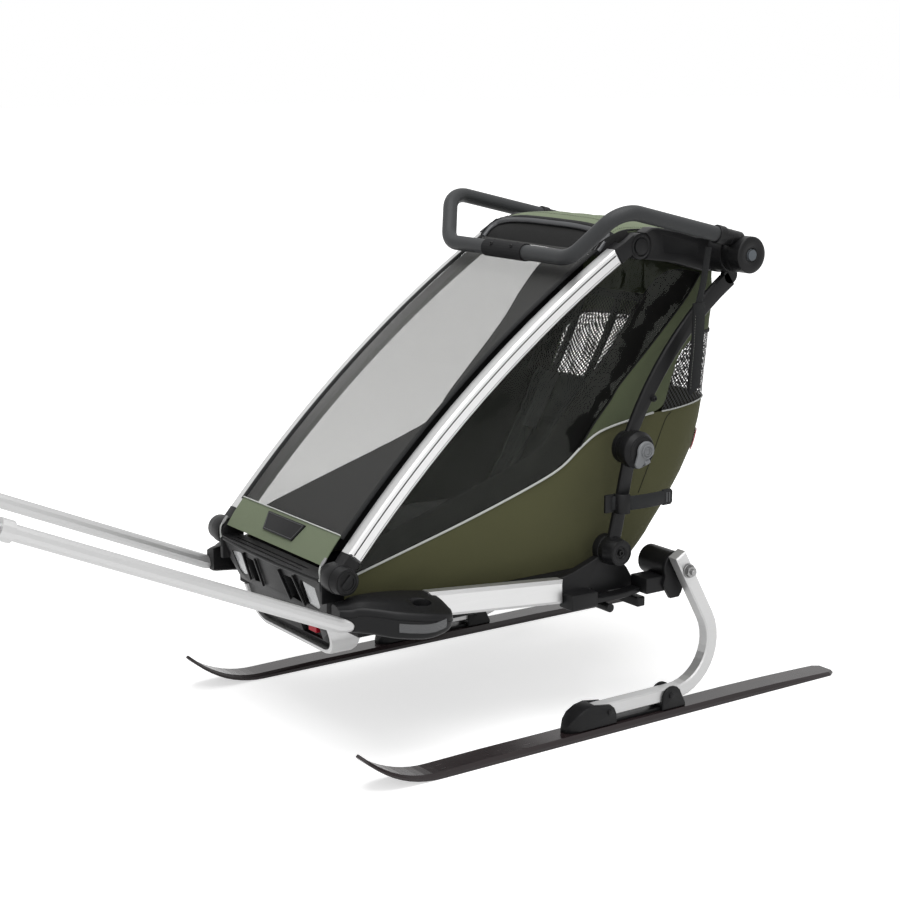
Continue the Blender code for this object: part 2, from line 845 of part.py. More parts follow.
def make_handlebar():
    """The bent bar with a hub housing at each end, bored for its release button."""
    bar = tube("handlebar", handlebar_path(), BAR_RADIUS, black_plastic(), 4)
    joined, bored = [], []
    for side, s in sides():
        inner = ARM_BOSS_OUTER + BAR_GAP
        joined.append(
            disc(f"hub_{side}", HUB, s * inner, s * (HUB_OUTER - 0.006), HUB_RADIUS, black_plastic(), 32)
        )
        joined.append(
            disc(
                f"hub_rim_{side}",
                HUB,
                s * (HUB_OUTER - 0.0065),
                s * HUB_OUTER,
                HUB_RADIUS,
                black_plastic(),
                32,
                HUB_RADIUS - 0.006,
            )
        )
        collar = [along_bar(0.042), along_bar(0.042 + BAR_COLLAR_WIDTH)]
        ends = [(s * p.x, p.y, p.z) for p in collar]
        joined.append(
            cylinder(f"bar_collar_{side}", ends[0], ends[1], BAR_COLLAR_RADIUS, black_plastic())
        )
        depth = BUTTON_TRAVEL + BUTTON_LENGTH
        bored.append(
            disc(
                f"button_bore_{side}",
                HUB,
                s * (HUB_OUTER - depth),
                s * (HUB_OUTER + 0.002),
                BUTTON_RADIUS + SEAT_GAP,
                black_plastic(),
            )
        )
    return cut(unite(bar, *joined), *bored)


def make_hub_button(side, s):
    """The push button that frees the handlebar, standing a little proud of its hub."""
    proud = 0.0006
    look = finish("button_grey", (0.105, 0.125, 0.14), 0.45)
    return disc(
        f"hub_button_{side}",
        HUB,
        s * (HUB_OUTER - BUTTON_LENGTH + SEAT_GAP),
        s * (HUB_OUTER + proud),
        BUTTON_RADIUS,
        look,
    )


def make_grip_sleeve():
    """The sleeve clamped round the middle of the bar by two screws."""
    y, z = BAR_FRONT
    half = GRIP_LENGTH / 2
    sleeve = disc("grip_sleeve", BAR_FRONT, -half, half, BAR_RADIUS + GRIP_WALL, black_plastic(), 20)
    bore = disc(
        "grip_bore", BAR_FRONT, -half - 0.01, half + 0.01, BAR_RADIUS + SEAT_GAP, black_plastic(), 20
    )
    screws = [
        cylinder(
            f"grip_screw_{i}",
            (x, y, z + BAR_RADIUS + 0.001),
            (x, y, z + BAR_RADIUS + 0.01),
            0.003,
            black_plastic(),
            segments=8,
        )
        for i, x in enumerate((-half * 0.6, half * 0.6))
    ]
    return cut(sleeve, bore, *screws)


def make_roof_bow():
    """The tube across the roof's front edge, between the two corner joints."""
    end = PILLAR_INNER - SEAT_GAP
    points = [
        (end, *BOW_END),
        (end - 0.012, *BOW_END),
        (end - 0.032, *BOW_CREST),
        (-end + 0.032, *BOW_CREST),
        (-end + 0.012, *BOW_END),
        (-end, *BOW_END),
    ]
    return tube("roof_bow", rounded(points, 0.012, 3), BOW_RADIUS, black_plastic(), 3)


def make_front_mesh():
    """The curved front cover, stretched between the pillars just under their front faces."""
    path = offset_path(frame_arc(MESH_FIRST, MESH_LAST, 12), COVER_OFFSET)
    half = PILLAR_INNER - COVER_INSET
    look = finish("mesh_fabric", (0.42, 0.42, 0.41), 0.8)
    return plate("front_mesh", ribbon(path, 0.003), -half, half, look)


def make_front_flap():
    """The closed cloth foot of the front cover, above the cradle."""
    path = [FLAP_FOOT, offset_path(frame_arc(MESH_FIRST - 0.003, MESH_FIRST, 1), COVER_OFFSET)[0]]
    half = CRADLE_HALF - EAR_THICKNESS - SEAT_GAP
    look = finish("green_fabric", (0.155, 0.20, 0.125), 0.85)
    return plate("front_flap", ribbon(path, 0.004), -half, half, look)


def make_canopy():
    """The crowned roof cloth between the top arms."""
    half = PILLAR_INNER - SEAT_GAP - 0.0004
    stations = [(TOP_PIVOT[0] + y, TOP_PIVOT[1] + z, share) for y, z, share in CANOPY_LINE]
    across = [-1, -0.8, -0.5, -0.2, 0.2, 0.5, 0.8, 1]
    rings = []
    for y, z, share in stations:
        top = [(half * t, y, z + CANOPY_CROWN * share * (1 - t**4)) for t in across]
        under = [(x, y, z_top - CANOPY_THICKNESS) for x, _, z_top in top]
        rings.append(top + under[::-1])
    return loft("canopy", rings, finish("green_fabric", (0.155, 0.20, 0.125), 0.85))


def rail_top(y):
    return RAIL_REAR_TOP + RAIL_SLOPE * (y - RAIL_REAR)


def make_rail(side, s):
    """The short aluminium rail between the side pod and the rear casting."""
    ends = (RAIL_FRONT, RAIL_REAR)
    outline = [(y, rail_top(y) - RAIL_DEPTH) for y in ends] + [(y, rail_top(y)) for y in ends[::-1]]
    outer = RAIL_INNER + RAIL_WIDTH
    return plate(f"rail_{side}", outline, s * RAIL_INNER, s * outer, aluminium(), 0.006)


def lean_front(z, x=0.0, half=1.0):
    """Y of the leaning front face at a height, bowed forward in the middle of its width."""
    bow = CRADLE_BOW * (1 - (x / half) ** 2) * (z - HOOP_BOTTOM) / (CRADLE_TOP - HOOP_BOTTOM)
    return HOOP_FOOT_FRONT - CRADLE_LEAN * (z - HOOP_BOTTOM) - bow


def nose_half(z):
    """Half the width of the nose, whose lower corners are rounded inside the hoop."""
    half = HOOP_HALF - HOOP_BAND - SEAT_GAP
    radius = HOOP_CORNER - HOOP_BAND - SEAT_GAP
    below = max(0, HOOP_BOTTOM + HOOP_CORNER - z)
    return half - radius + math.sqrt(max(radius**2 - below**2, 0))


def make_front_cradle():
    """The moulded front member: a tapering frame with windows, a leaning nose and pillar ears."""
    look = black_plastic()
    nose_foot = HOOP_BOTTOM + HOOP_BAND + SEAT_GAP
    tub_front = TUB_FRONT - SEAT_GAP
    under_tub = TUB_FLOOR - SEAT_GAP
    levels = [
        (CRADLE_TOP, CRADLE_HALF, CRADLE_REAR, 0),
        (0.304, CRADLE_HALF, CRADLE_REAR, 0),
        (0.286, 0.171, CRADLE_REAR, 0),
        (0.264, 0.158, CRADLE_REAR, 0),
        (0.262, 0.157, tub_front, 0),
        (CRADLE_WAIST, 0.150, tub_front, 0),
        (CRADLE_WAIST - 0.002, nose_half(CRADLE_WAIST), tub_front, 0.004),
        (under_tub, nose_half(0.22), tub_front, 0.003),
        (under_tub - 0.0006, nose_half(0.22), HOOP_REAR - 0.002, 0.003),
        (0.196, nose_half(0.196), HOOP_REAR - 0.002, 0.002),
        (0.187, nose_half(0.187), HOOP_REAR - 0.002, 0.002),
        (0.181, nose_half(0.181), HOOP_REAR - 0.002, 0.003),
        (nose_foot, nose_half(nose_foot) - 0.001, HOOP_REAR - 0.002, 0.004),
    ]
    rings = []
    for z, half, rear, recess in levels:
        front = []
        for i in range(9):
            x = half * (i / 4 - 1)
            front.append((x, lean_front(z, x, half) + recess, z))
        rings.append(front + [(half, rear, z), (-half, rear, z)])
    cradle = loft("front_cradle", rings, look)
    pieces, cutters = [], []
    for side, s in sides():
        ear_path = [(FRONT_PIVOT[0], FRONT_PIVOT[1] - 0.045), FRONT_PIVOT]
        ear = (s * (CRADLE_HALF - EAR_THICKNESS), s * CRADLE_HALF)
        pieces.append(plate(f"cradle_ear_{side}", ribbon(ear_path, 0.043), *ear, look))
        pieces.append(disc(f"ear_round_{side}", FRONT_PIVOT, *ear, 0.0215, look))
        window = [
            (s * WINDOW_INNER, WINDOW_LOW + 0.006),
            (s * (WINDOW_OUTER - 0.014), WINDOW_LOW),
            (s * (WINDOW_OUTER - 0.004), WINDOW_LOW + 0.008),
            (s * WINDOW_OUTER, WINDOW_HIGH - 0.006),
            (s * (WINDOW_INNER + 0.008), WINDOW_HIGH),
            (s * WINDOW_INNER, WINDOW_HIGH - 0.010),
        ]
        cutters.append(plate(f"cradle_window_{side}", window, -0.60, -0.40, look, 0, "XZ"))
        pocket = [(s * 0.052, 0.266), (s * 0.084, 0.262), (s * 0.088, 0.308), (s * 0.048, 0.308)]
        cutters.append(plate(f"cradle_pocket_{side}", pocket, -0.60, CRADLE_REAR - 0.005, look, 0, "XZ"))
    centre = [(-0.038, 0.268), (0.038, 0.268), (0.034, 0.300), (-0.034, 0.300)]
    cutters.append(plate("cradle_centre", centre, -0.60, CRADLE_REAR - POCKET_DEPTH, look, 0, "XZ"))
    for i in range(2):
        y = -0.474 + 0.012 * i
        low = (-0.140, y - 0.002, CRADLE_TOP - 0.004)
        high = (0.110, y + 0.002, CRADLE_TOP + 0.01)
        cutters.append(block(f"cradle_rib_{i}", low, high, look))
    low, high = tab_box()
    room = Vector((0.020, 0, 0.007))
    pocket_low, pocket_high = Vector(low) - room, Vector(high) + room
    pocket_low.y, pocket_high.y = -0.60, high[1] - 0.004
    cutters.append(block("tab_pocket", pocket_low, pocket_high, look))
    slot_low = [v - SEAT_GAP for v in low]
    slot_high = [high[0] + SEAT_GAP, high[1] + TAB_TRAVEL + SEAT_GAP, high[2] + SEAT_GAP]
    cutters.append(block("tab_slot", slot_low, slot_high, look))
    return cut(unite(cradle, *pieces), *cutters)


def tab_box():
    """The two corners of the catch, which stands in a pocket of the nose."""
    front = lean_front(TAB_TOP) + 0.008
    half = TAB_SIZE[0] / 2
    return (
        (TAB_X - half, front, TAB_TOP - TAB_SIZE[2]),
        (TAB_X + half, front + TAB_SIZE[1], TAB_TOP),
    )


def make_hitch_tab():
    """The red catch in the nose, which is pushed in to free the kit."""
    look = finish("red_plastic", (0.62, 0.02, 0.05), 0.4)
    return block("hitch_tab", *tab_box(), look, 0.001)


def make_front_hoop():
    """The aluminium band that wraps the nose in a U and leans like it."""
    centre_half = HOOP_HALF - HOOP_BAND / 2
    foot = HOOP_BOTTOM + HOOP_BAND / 2
    top = TUB_FLOOR - 2 * SEAT_GAP
    corners = [(centre_half, top), (centre_half, foot), (-centre_half, foot), (-centre_half, top)]
    path = rounded(corners, HOOP_CORNER - HOOP_BAND / 2, 6)
    inner = offset_path(path, -HOOP_BAND / 2)
    outer = offset_path(path, HOOP_BAND / 2)
    rings = []
    for (xi, zi), (xo, zo) in zip(inner, outer):
        rings.append(
            [(xi, lean_front(zi), zi), (xo, lean_front(zo), zo), (xo, HOOP_REAR, zo), (xi, HOOP_REAR, zi)]
        )
    return loft("front_hoop", rings, aluminium())


def make_side_pod(side, s):
    """The moulded step beside the front wheel's place: it holds the pull pole and the rail's front end."""
    inner = RAIL_INNER
    stations = [
        (-0.4545, 0.262, 0.304, 0.2465),
        (-0.430, 0.284, 0.306, 0.2455),
        (-0.395, 0.303, 0.303, 0.2385),
        (-0.350, 0.311, 0.297, 0.2345),
        (-0.315, 0.309, 0.291, 0.2380),
        (-0.297, 0.298, 0.2885, 0.2440),
        (-0.287, 0.284, 0.286, 0.2490),
    ]
    rings = []
    for y, out, top, foot in stations:
        rings.append(
            [
                (s * inner, y, foot + 0.003),
                (s * inner, y, top - 0.004),
                (s * (inner + 0.008), y, top),
                (s * (out - 0.026), y, top + 0.001),
                (s * (out - 0.005), y, top - 0.007),
                (s * out, y, top - 0.019),
                (s * (out - 0.003), y, foot + 0.010),
                (s * (out - 0.013), y, foot),
                (s * (inner + 0.010), y, foot),
            ]
        )
    pod = loft(f"side_pod_{side}", rings, black_plastic(), 50)
    socket = tube(f"pod_socket_{side}", pole_points(s)[:2], POLE_RADIUS + SEAT_GAP, black_plastic())
    rail_seat = block(
        f"pod_rail_seat_{side}",
        (s * (inner - 0.002), RAIL_FRONT - SEAT_GAP, rail_top(RAIL_REAR) - RAIL_DEPTH),
        (s * (inner + RAIL_WIDTH + SEAT_GAP), RAIL_FRONT + 0.05, rail_top(RAIL_FRONT) + SEAT_GAP),
        black_plastic(),
    )
    hole = cylinder(
        f"pod_hole_{side}",
        (s * 0.262, -0.322, 0.284),
        (s * 0.262, -0.322, 0.31),
        0.010,
        black_plastic(),
        0.013,
        16,
    )
    return cut(pod, socket, rail_seat, hole)


def pole_points(s):
    """The pole's centre line: level in its pod, then rising to the front."""
    slope = math.radians(POLE_SLOPE)
    back = (s * POLE_X, POLE_BEND_Y + POLE_SOCKET + 0.020, POLE_LEVEL)
    bend = (s * POLE_X, POLE_BEND_Y, POLE_LEVEL)
    front = (
        s * POLE_X,
        POLE_BEND_Y - POLE_LENGTH * math.cos(slope),
        POLE_LEVEL + POLE_LENGTH * math.sin(slope),
    )
    return [back, bend, front]


def along_pole(s, distance):
    """A point so far along the sloping part of the pole, from its bend."""
    bend, front = [Vector(p) for p in pole_points(s)[1:]]
    return bend + (front - bend).normalized() * distance


def make_pole(side, s):
    """The rear half of a pull pole, bored for the front half and ended by a clamp collar."""
    back, bend, front = pole_points(s)
    path = rounded([back, bend, front], POLE_BEND_RADIUS, 6)
    pole = tube(f"pole_{side}", path, POLE_RADIUS, aluminium())
    collar = tube(
        f"pole_collar_{side}",
        [along_pole(s, POLE_LENGTH - POLE_COLLAR_WIDTH), along_pole(s, POLE_LENGTH)],
        POLE_COLLAR_RADIUS,
        aluminium(),
    )
    bore = tube(
        f"pole_bore_{side}",
        [along_pole(s, POLE_LENGTH - POLE_OVERLAP - 0.010), along_pole(s, POLE_LENGTH + 0.02)],
        POLE_INSERT_RADIUS + POLE_INSERT_GAP,
        aluminium(),
    )
    return cut(unite(pole, collar), bore)


def make_pole_front(side, s):
    """The front half, which slides out of the rear half and ends in the eye for the skier's belt."""
    pole = tube(
        f"pole_front_{side}",
        [along_pole(s, POLE_LENGTH - POLE_OVERLAP), along_pole(s, POLE_LENGTH + POLE_REACH)],
        POLE_INSERT_RADIUS,
        aluminium(),
    )
    plug = tube(
        f"pole_plug_{side}",
        [
            along_pole(s, POLE_LENGTH + POLE_REACH - 0.045),
            along_pole(s, POLE_LENGTH + POLE_REACH + 0.006),
        ],
        EYE_RADIUS,
        aluminium(),
    )
    centre = along_pole(s, POLE_LENGTH + POLE_REACH + 0.012)
    eye = disc(
        f"pole_eye_{side}",
        (centre.y, centre.z),
        centre.x - 0.005,
        centre.x + 0.005,
        EYE_RADIUS,
        aluminium(),
        16,
    )
    hole = disc(
        f"pole_eye_hole_{side}",
        (centre.y, centre.z),
        centre.x - 0.02,
        centre.x + 0.02,
        EYE_HOLE,
        aluminium(),
        12,
    )
    return cut(unite(pole, plug, eye), hole)


def make_rear_casting(side, s):
    """The casting behind the rail: it carries the lower post, the crossbars and the leaf spring's clamp."""
    outer = RAIL_INNER + CASTING_WIDTH
    front = RAIL_REAR + SEAT_GAP
    tie_top = TIE_CENTRE[1] + TIE_RADIUS + SEAT_GAP
    bar_top = CROSSBAR_TOP + SEAT_GAP
    under = [
        (front, 0.2218),
        (0.030, 0.2175),
        (0.044, 0.236),
        (0.058, 0.236),
        (TIE_CENTRE[0] - 0.012, tie_top),
        (TIE_CENTRE[0] + 0.012, tie_top),
        (0.100, 0.224),
        (0.130, 0.224),
        (CROSSBAR_FRONT, bar_top),
        (CROSSBAR_FRONT + CROSSBAR_SIDE, bar_top),
        (CROSSBAR_FRONT + CROSSBAR_SIDE, 0.234),
        (0.142, 0.262),
    ]
    top = arc(REAR_PIVOT, REAR_HUB_RADIUS, -40, 205, 14) + [
        (0.045, 0.281), (0.015, 0.271), (front, 0.2665)
    ]
    look = black_plastic()
    casting = plate(f"rear_casting_{side}", under + top, s * RAIL_INNER, s * outer, look, 0.0015)
    clamp = block(
        f"leaf_clamp_{side}",
        (s * (outer - 0.004), front + 0.0002, 0.2125),
        (s * (LEAF_INNER + LEAF_WIDTH + 0.003), LEAF_FRONT[0] - SEAT_GAP * 2, 0.2400),
        look,
        0.002,
    )
    return unite(casting, clamp)


def make_rear_crossbar():
    """The square tube under both castings, open at its capped ends to the sides."""
    top = CROSSBAR_TOP
    return block(
        "rear_crossbar",
        (-CROSSBAR_REACH, CROSSBAR_FRONT, top - CROSSBAR_SIDE),
        (CROSSBAR_REACH, CROSSBAR_FRONT + CROSSBAR_SIDE, top),
        black_plastic(),
        0.0015,
    )


def make_tie_bar():
    """The round bar across the chassis in front of the crossbar."""
    return disc("tie_bar", TIE_CENTRE, -CROSSBAR_REACH, CROSSBAR_REACH, TIE_RADIUS, black_plastic(), 16)


def make_floor_tub():
    """The floor: a shallow foot tray in front and the box that carries the seat behind."""
    half = RAIL_INNER - SEAT_GAP
    look = finish("floor_black", (0.03, 0.03, 0.03), 0.7)
    tub = block("floor_tub", (-half, TUB_FRONT, TUB_FLOOR), (half, TUB_REAR, TUB_RIM), look, 0.002)
    well = block(
        "foot_well",
        (-half + TUB_WALL, TUB_FRONT + 0.010, TUB_FLOOR + TUB_PLATE),
        (half - TUB_WALL, SEAT_FRONT + 0.02, TUB_RIM + 0.02),
        look,
    )
    box = block(
        "seat_box",
        (-SEAT_HALF, SEAT_FRONT + 0.02, TUB_FLOOR + 0.002),
        (SEAT_HALF, SEAT_REAR, SEAT_BOX_TOP),
        look,
        0.003,
    )
    return unite(cut(tub, well), box)


def superellipse(t, power):
    return 1 - abs(t) ** power


def make_seat_base():
    """The crowned seat cushion, drawn in at its sides."""
    foot = SEAT_BOX_TOP + SEAT_GAP
    rings = []
    across = [-1, -0.92, -0.7, -0.35, 0, 0.35, 0.7, 0.92, 1]
    for t in (-1, -0.93, -0.75, -0.4, 0, 0.4, 0.75, 0.93, 1):
        y = (SEAT_FRONT + SEAT_REAR) / 2 + (SEAT_REAR - SEAT_FRONT) / 2 * t
        draw = 1 - 0.04 * (1 - superellipse(t, 8))
        ring_top, ring_foot = [], []
        for u in across:
            crown = superellipse(t, 6) * superellipse(u, 6)
            sag = 0.010 * math.exp(-((t - 0.35) ** 2) * 3 - u * u * 2)
            height = 0.020 + (CUSHION_HEIGHT - 0.020) * crown - sag
            x = SEAT_HALF * u * draw
            ring_top.append((x, y, foot + height))
            ring_foot.append((x * 0.985, y, foot))
        rings.append(ring_foot + ring_top[::-1])
    return loft("seat_base", rings, finish("seat_fabric", (0.03, 0.03, 0.032), 0.85), 60)


def make_seat_back():
    """The padded back: a rising slab that narrows to the top, with a channel down each side."""
    foot = (SEAT_REAR - 0.022, BACK_FOOT_LEVEL)
    path = bowed(foot, BACK_TOP, -0.018, 8)
    back = offset_path(path, -BACK_THICKNESS / 2)
    front = offset_path(path, BACK_THICKNESS / 2)
    across = [-1, -0.93, -0.78, -0.70, -0.62, -0.3, 0, 0.3, 0.62, 0.70, 0.78, 0.93, 1]
    rings = []
    for i, ((yb, zb), (yf, zf)) in enumerate(zip(back, front)):
        t = i / (len(back) - 1)
        half = SEAT_HALF * (0.96 - 0.14 * t * t)
        edge = 1 - 0.45 * (1 - superellipse(2 * t - 1, 8))
        ring_front, ring_back = [], []
        for u in across:
            crown = superellipse(u, 6) * edge
            channel = 0.22 * math.exp(-(((abs(u) - 0.70) / 0.05) ** 2))
            depth = 0.42 + 0.58 * crown - channel
            ring_front.append((half * u, yb + (yf - yb) * depth, zb + (zf - zb) * depth))
            ring_back.append((half * u * 0.98, yb, zb))
        rings.append(ring_back + ring_front[::-1])
    return loft("seat_back", rings, finish("seat_fabric", (0.03, 0.03, 0.032), 0.85), 60)


def make_side_panel(side, s):
    """The sewn side of the cabin: lower cloth, window and upper cloth in one sheet."""
    under_pillar = frame_arc(0.048, 0.93, 12)
    roof = beside(TOP_PIVOT, HUB, PANEL_TOP_LINE)
    foot = [SEAM_FOOT, (-0.430, TUB_RIM + SEAT_GAP)]
    outline = under_pillar + roof + SEAM[1:] + foot
    look = finish("olive_fabric", (0.068, 0.070, 0.032), 0.85)
    return plate(
        f"side_panel_{side}", outline, s * PANEL_INNER, s * (PANEL_INNER + PANEL_THICKNESS), look
    )


def seam_at(z):
    """Y of the line where the rear cloth is sewn to the side, at a height."""
    for (y_top, z_top), (y_low, z_low) in zip(SEAM, SEAM[1:]):
        if z >= z_low:
            break
    return y_low + (y_top - y_low) * (z - z_low) / (z_top - z_low) + 2 * SEAT_GAP


def rear_section(y_rear, z, steps=10):
    """Half-round plan section of the rear cloth at one height, outer line then inner line."""
    half = PANEL_INNER + PANEL_THICKNESS
    y_side = seam_at(z)
    outer, inner = [], []
    for i in range(steps + 1):
        angle = math.pi * i / steps
        c, q = math.cos(angle), math.sin(angle)
        x = half * math.copysign(abs(c) ** 0.45, c)
        bulge = abs(q) ** 0.45
        outer.append((x, y_side + (y_rear - y_side) * bulge, z))
        shrink = 1 - PANEL_THICKNESS / half
        inner.append((x * shrink, y_side + (y_rear - y_side - PANEL_THICKNESS) * bulge, z))
    return outer + inner[::-1]


def make_rear_panel():
    """The cloth that wraps the back of the cabin below the mesh."""
    heights = [
        (0.545, 0.407),
        (0.525, 0.405),
        (0.500, 0.402),
        (0.455, 0.390),
        (0.400, 0.358),
        (0.348, 0.318),
        (0.330, 0.300),
        (SEAM[-1][1], 0.262),
        (TUB_RIM + SEAT_GAP, 0.222),
    ]
    rings = [rear_section(rear_y, z) for z, rear_y in heights]
    return loft("rear_panel", rings, finish("olive_fabric", (0.068, 0.070, 0.032), 0.85), 60)


def make_rear_mesh():
    """The black mesh above it, up to the roof cloth."""
    heights = [
        (0.815, 0.388), (0.775, 0.394), (0.725, 0.402), (0.640, 0.408), (0.570, 0.408), (0.5455, 0.407)
    ]
    rings = [rear_section(rear_y, z) for z, rear_y in heights]
    return loft("rear_mesh", rings, finish("black_mesh", (0.03, 0.03, 0.03), 0.8), 60)


def leaf_path(steps):
    return bowed(LEAF_FRONT, LEAF_REAR, -LEAF_SAG, steps)


def make_leaf_spring(side, s):
    """The flexible bar that carries the axle behind its clamp."""
    look = finish("spring_black", (0.03, 0.03, 0.03), 0.35)
    return plate(
        f"leaf_spring_{side}",
        ribbon(leaf_path(8), LEAF_THICKNESS),
        s * LEAF_INNER,
        s * (LEAF_INNER + LEAF_WIDTH),
        look,
        0.001,
    )


def make_axle_housing(side, s):
    """The axle drum with its flange, the saddle on the leaf spring, and the spindle with its bolt."""
    look = black_plastic()
    flange_outer = FLANGE_INNER + FLANGE_THICKNESS
    arm_in, arm_out = SKI_X - ARM_TUBE / 2, SKI_X + ARM_TUBE / 2
    housing = disc(
        f"axle_housing_{side}", AXLE, s * DRUM_INNER, s * (FLANGE_INNER + 0.002), DRUM_RADIUS, look, 28
    )
    rim = [polar(AXLE, DRUM_RADIUS + 0.002, a) for a in range(-30, 211, 20)]
    tail = [
        (AXLE[0] - 0.030, 0.236), (AXLE[0] - 0.012, 0.208), (AXLE[0] + 0.008, 0.208),
        (AXLE[0] + 0.014, 0.216),
    ]
    flange = plate(f"axle_flange_{side}", rim + tail, s * FLANGE_INNER, s * flange_outer, look, 0.0015)
    saddle = block(
        f"leaf_saddle_{side}",
        (s * LEAF_INNER, 0.146, 0.222),
        (s * (FLANGE_INNER + 0.001), 0.190, 0.2505),
        look,
        0.001,
    )
    spindle = disc(
        f"spindle_{side}",
        AXLE,
        s * (flange_outer - 0.001),
        s * (arm_in - SEAT_GAP),
        AXLE_RADIUS,
        look,
        20,
    )
    bolt = disc(
        f"axle_bolt_{side}", AXLE, s * (arm_in - 0.003), s * (arm_out + 0.0155), BOLT_RADIUS, look, 12
    )
    washer = disc(
        f"axle_washer_{side}",
        AXLE,
        s * (arm_out + SEAT_GAP),
        s * (arm_out + 0.002),
        NUT_RADIUS + 0.0025,
        look,
        20,
    )
    nut = disc(
        f"axle_nut_{side}", AXLE, s * (arm_out + 0.0015), s * (arm_out + 0.010), NUT_RADIUS, look, 6
    )
    upper = offset_path(leaf_path(8), LEAF_THICKNESS / 2 + SEAT_GAP)
    room = plate(
        f"leaf_room_{side}",
        upper + [
            (LEAF_REAR[0] + 0.002, upper[-1][1]), (LEAF_REAR[0] + 0.002, 0.19), (LEAF_FRONT[0], 0.19)
        ],
        s * (LEAF_INNER - 0.01),
        s * (LEAF_INNER + LEAF_WIDTH + SEAT_GAP),
        look,
    )
    return unite(cut(unite(housing, flange, saddle), room), spindle, bolt, washer, nut)


def arm_level():
    return SKI_THICKNESS + BRACKET_BASE + ARM_TUBE / 2


def ski_arm_path():
    """Down behind the axle, round the bend and forward along the ski."""
    slope = math.radians(ARM_SLOPE)
    top = (AXLE[0] - ARM_PAST_AXLE * math.cos(slope), AXLE[1] + ARM_PAST_AXLE * math.sin(slope))
    corner = (AXLE[0] + (AXLE[1] - arm_level()) / math.tan(slope), arm_level())
    return rounded([top, corner, (ARM_FRONT, arm_level())], ARM_BEND_RADIUS, 12)


def make_ski_arm(side, s):
    """The bent square tube between the axle and the ski."""
    inner, outer = SKI_X - ARM_TUBE / 2, SKI_X + ARM_TUBE / 2
    arm = plate(
        f"ski_arm_{side}", ribbon(ski_arm_path(), ARM_TUBE), s * inner, s * outer, aluminium(), 0.0025
    )
    hole = disc(
        f"arm_hole_{side}",
        AXLE,
        s * (inner - 0.01),
        s * (outer + 0.01),
        BOLT_RADIUS + SEAT_GAP,
        aluminium(),
        12,
    )
    bolts = [
        disc(
            f"arm_bolt_hole_{i}_{side}",
            site,
            s * (inner - 0.01),
            s * (outer + 0.01),
            BRACKET_PIN + SEAT_GAP,
            aluminium(),
            8,
        )
        for i, site in enumerate(bracket_bolts())
    ]
    return cut(arm, hole, *bolts)


def bracket_bolts():
    return [(0.026, arm_level() - 0.0015), (0.170, arm_level())]


def channel(name, s, front, rear):
    """The room that the ski arm takes in a bracket."""
    half = ARM_TUBE / 2 + SEAT_GAP
    return block(
        name,
        (s * (SKI_X - half), front, arm_level() - half),
        (s * (SKI_X + half), rear, arm_level() + 0.06),
        black_plastic(),
    )


def bracket_pin(name, s, site):
    """The bolt through a bracket, with a head on each cheek."""
    half = BRACKET_WIDTH / 2
    x0, x1 = s * (SKI_X - half - 0.002), s * (SKI_X + half + 0.002)
    pin = disc(name, site, x0, x1, BRACKET_PIN, aluminium(), 8)
    heads = [
        disc(
            f"{name}_head_{i}",
            site,
            s * (SKI_X + k * half - k * 0.001),
            s * (SKI_X + k * (half + 0.003)),
            BRACKET_BOLT_RADIUS,
            aluminium(),
            12,
        )
        for i, k in enumerate((-1, 1))
    ]
    return [pin] + heads


def make_front_bracket(side, s):
    """The nose bracket on the ski: a rounded front, two cheeks and the strip to the rear bracket."""
    foot = SKI_THICKNESS + SEAT_GAP
    half = BRACKET_WIDTH / 2
    look = black_plastic()
    outline = [
        (FRONT_BRACKET_FRONT, foot), (FRONT_BRACKET_REAR, foot), (FRONT_BRACKET_REAR - 0.001, 0.030)
    ]
    outline += [(0.038, 0.042), (0.028, 0.050), (-0.008, 0.0555), (-0.028, 0.052), (-0.045, 0.043)]
    outline += [(-0.058, 0.031), (FRONT_BRACKET_FRONT, 0.020)]
    bracket = plate(f"front_bracket_{side}", outline, s * (SKI_X - half), s * (SKI_X + half), look, 0.002)
    nose = [
        (0.006, FRONT_BRACKET_FRONT - 0.001), (0.014, -0.056), (half + 0.001, -0.036),
        (half + 0.001, 0.06),
    ]
    plan = [(s * (SKI_X + x), y) for x, y in nose] + [(s * (SKI_X - x), y) for x, y in nose[::-1]]
    combine(bracket, "INTERSECT", [plate(f"bracket_plan_{side}", plan, 0, 0.1, look, 0, "XY")])
    strip = block(
        f"bracket_strip_{side}",
        (s * (SKI_X - 0.012), FRONT_BRACKET_REAR - 0.004, foot),
        (s * (SKI_X + 0.012), REAR_BRACKET_FRONT - SEAT_GAP, foot + 0.006),
        look,
    )
    room = channel(f"front_channel_{side}", s, ARM_FRONT - SEAT_GAP, 0.2)
    pin = bracket_pin(f"front_pin_{side}", s, bracket_bolts()[0])
    return unite(cut(bracket, room), strip, *pin)


def make_rear_bracket(side, s):
    """The rear bracket: a base and two round-topped cheeks beside the arm."""
    foot = SKI_THICKNESS + SEAT_GAP
    half = BRACKET_WIDTH / 2
    middle = bracket_bolts()[1]
    outline = (
        [(REAR_BRACKET_FRONT, foot), (REAR_BRACKET_REAR, foot), (REAR_BRACKET_REAR, foot + 0.006)]
        + arc((middle[0] + 0.004, middle[1] - 0.006), 0.0225, 15, 165, 7)
    )
    bracket = plate(
        f"rear_bracket_{side}", outline, s * (SKI_X - half), s * (SKI_X + half), black_plastic(), 0.002
    )
    room = channel(f"rear_channel_{side}", s, 0.1, 0.25)
    bend = disc(
        f"rear_bend_room_{side}",
        arm_bend_centre(),
        s * (SKI_X - ARM_TUBE / 2 - SEAT_GAP),
        s * (SKI_X + ARM_TUBE / 2 + SEAT_GAP),
        ARM_BEND_RADIUS + ARM_TUBE / 2 + SEAT_GAP,
        black_plastic(),
        96,
    )
    pin = bracket_pin(f"rear_pin_{side}", s, middle)
    return unite(cut(bracket, room, bend), *pin)


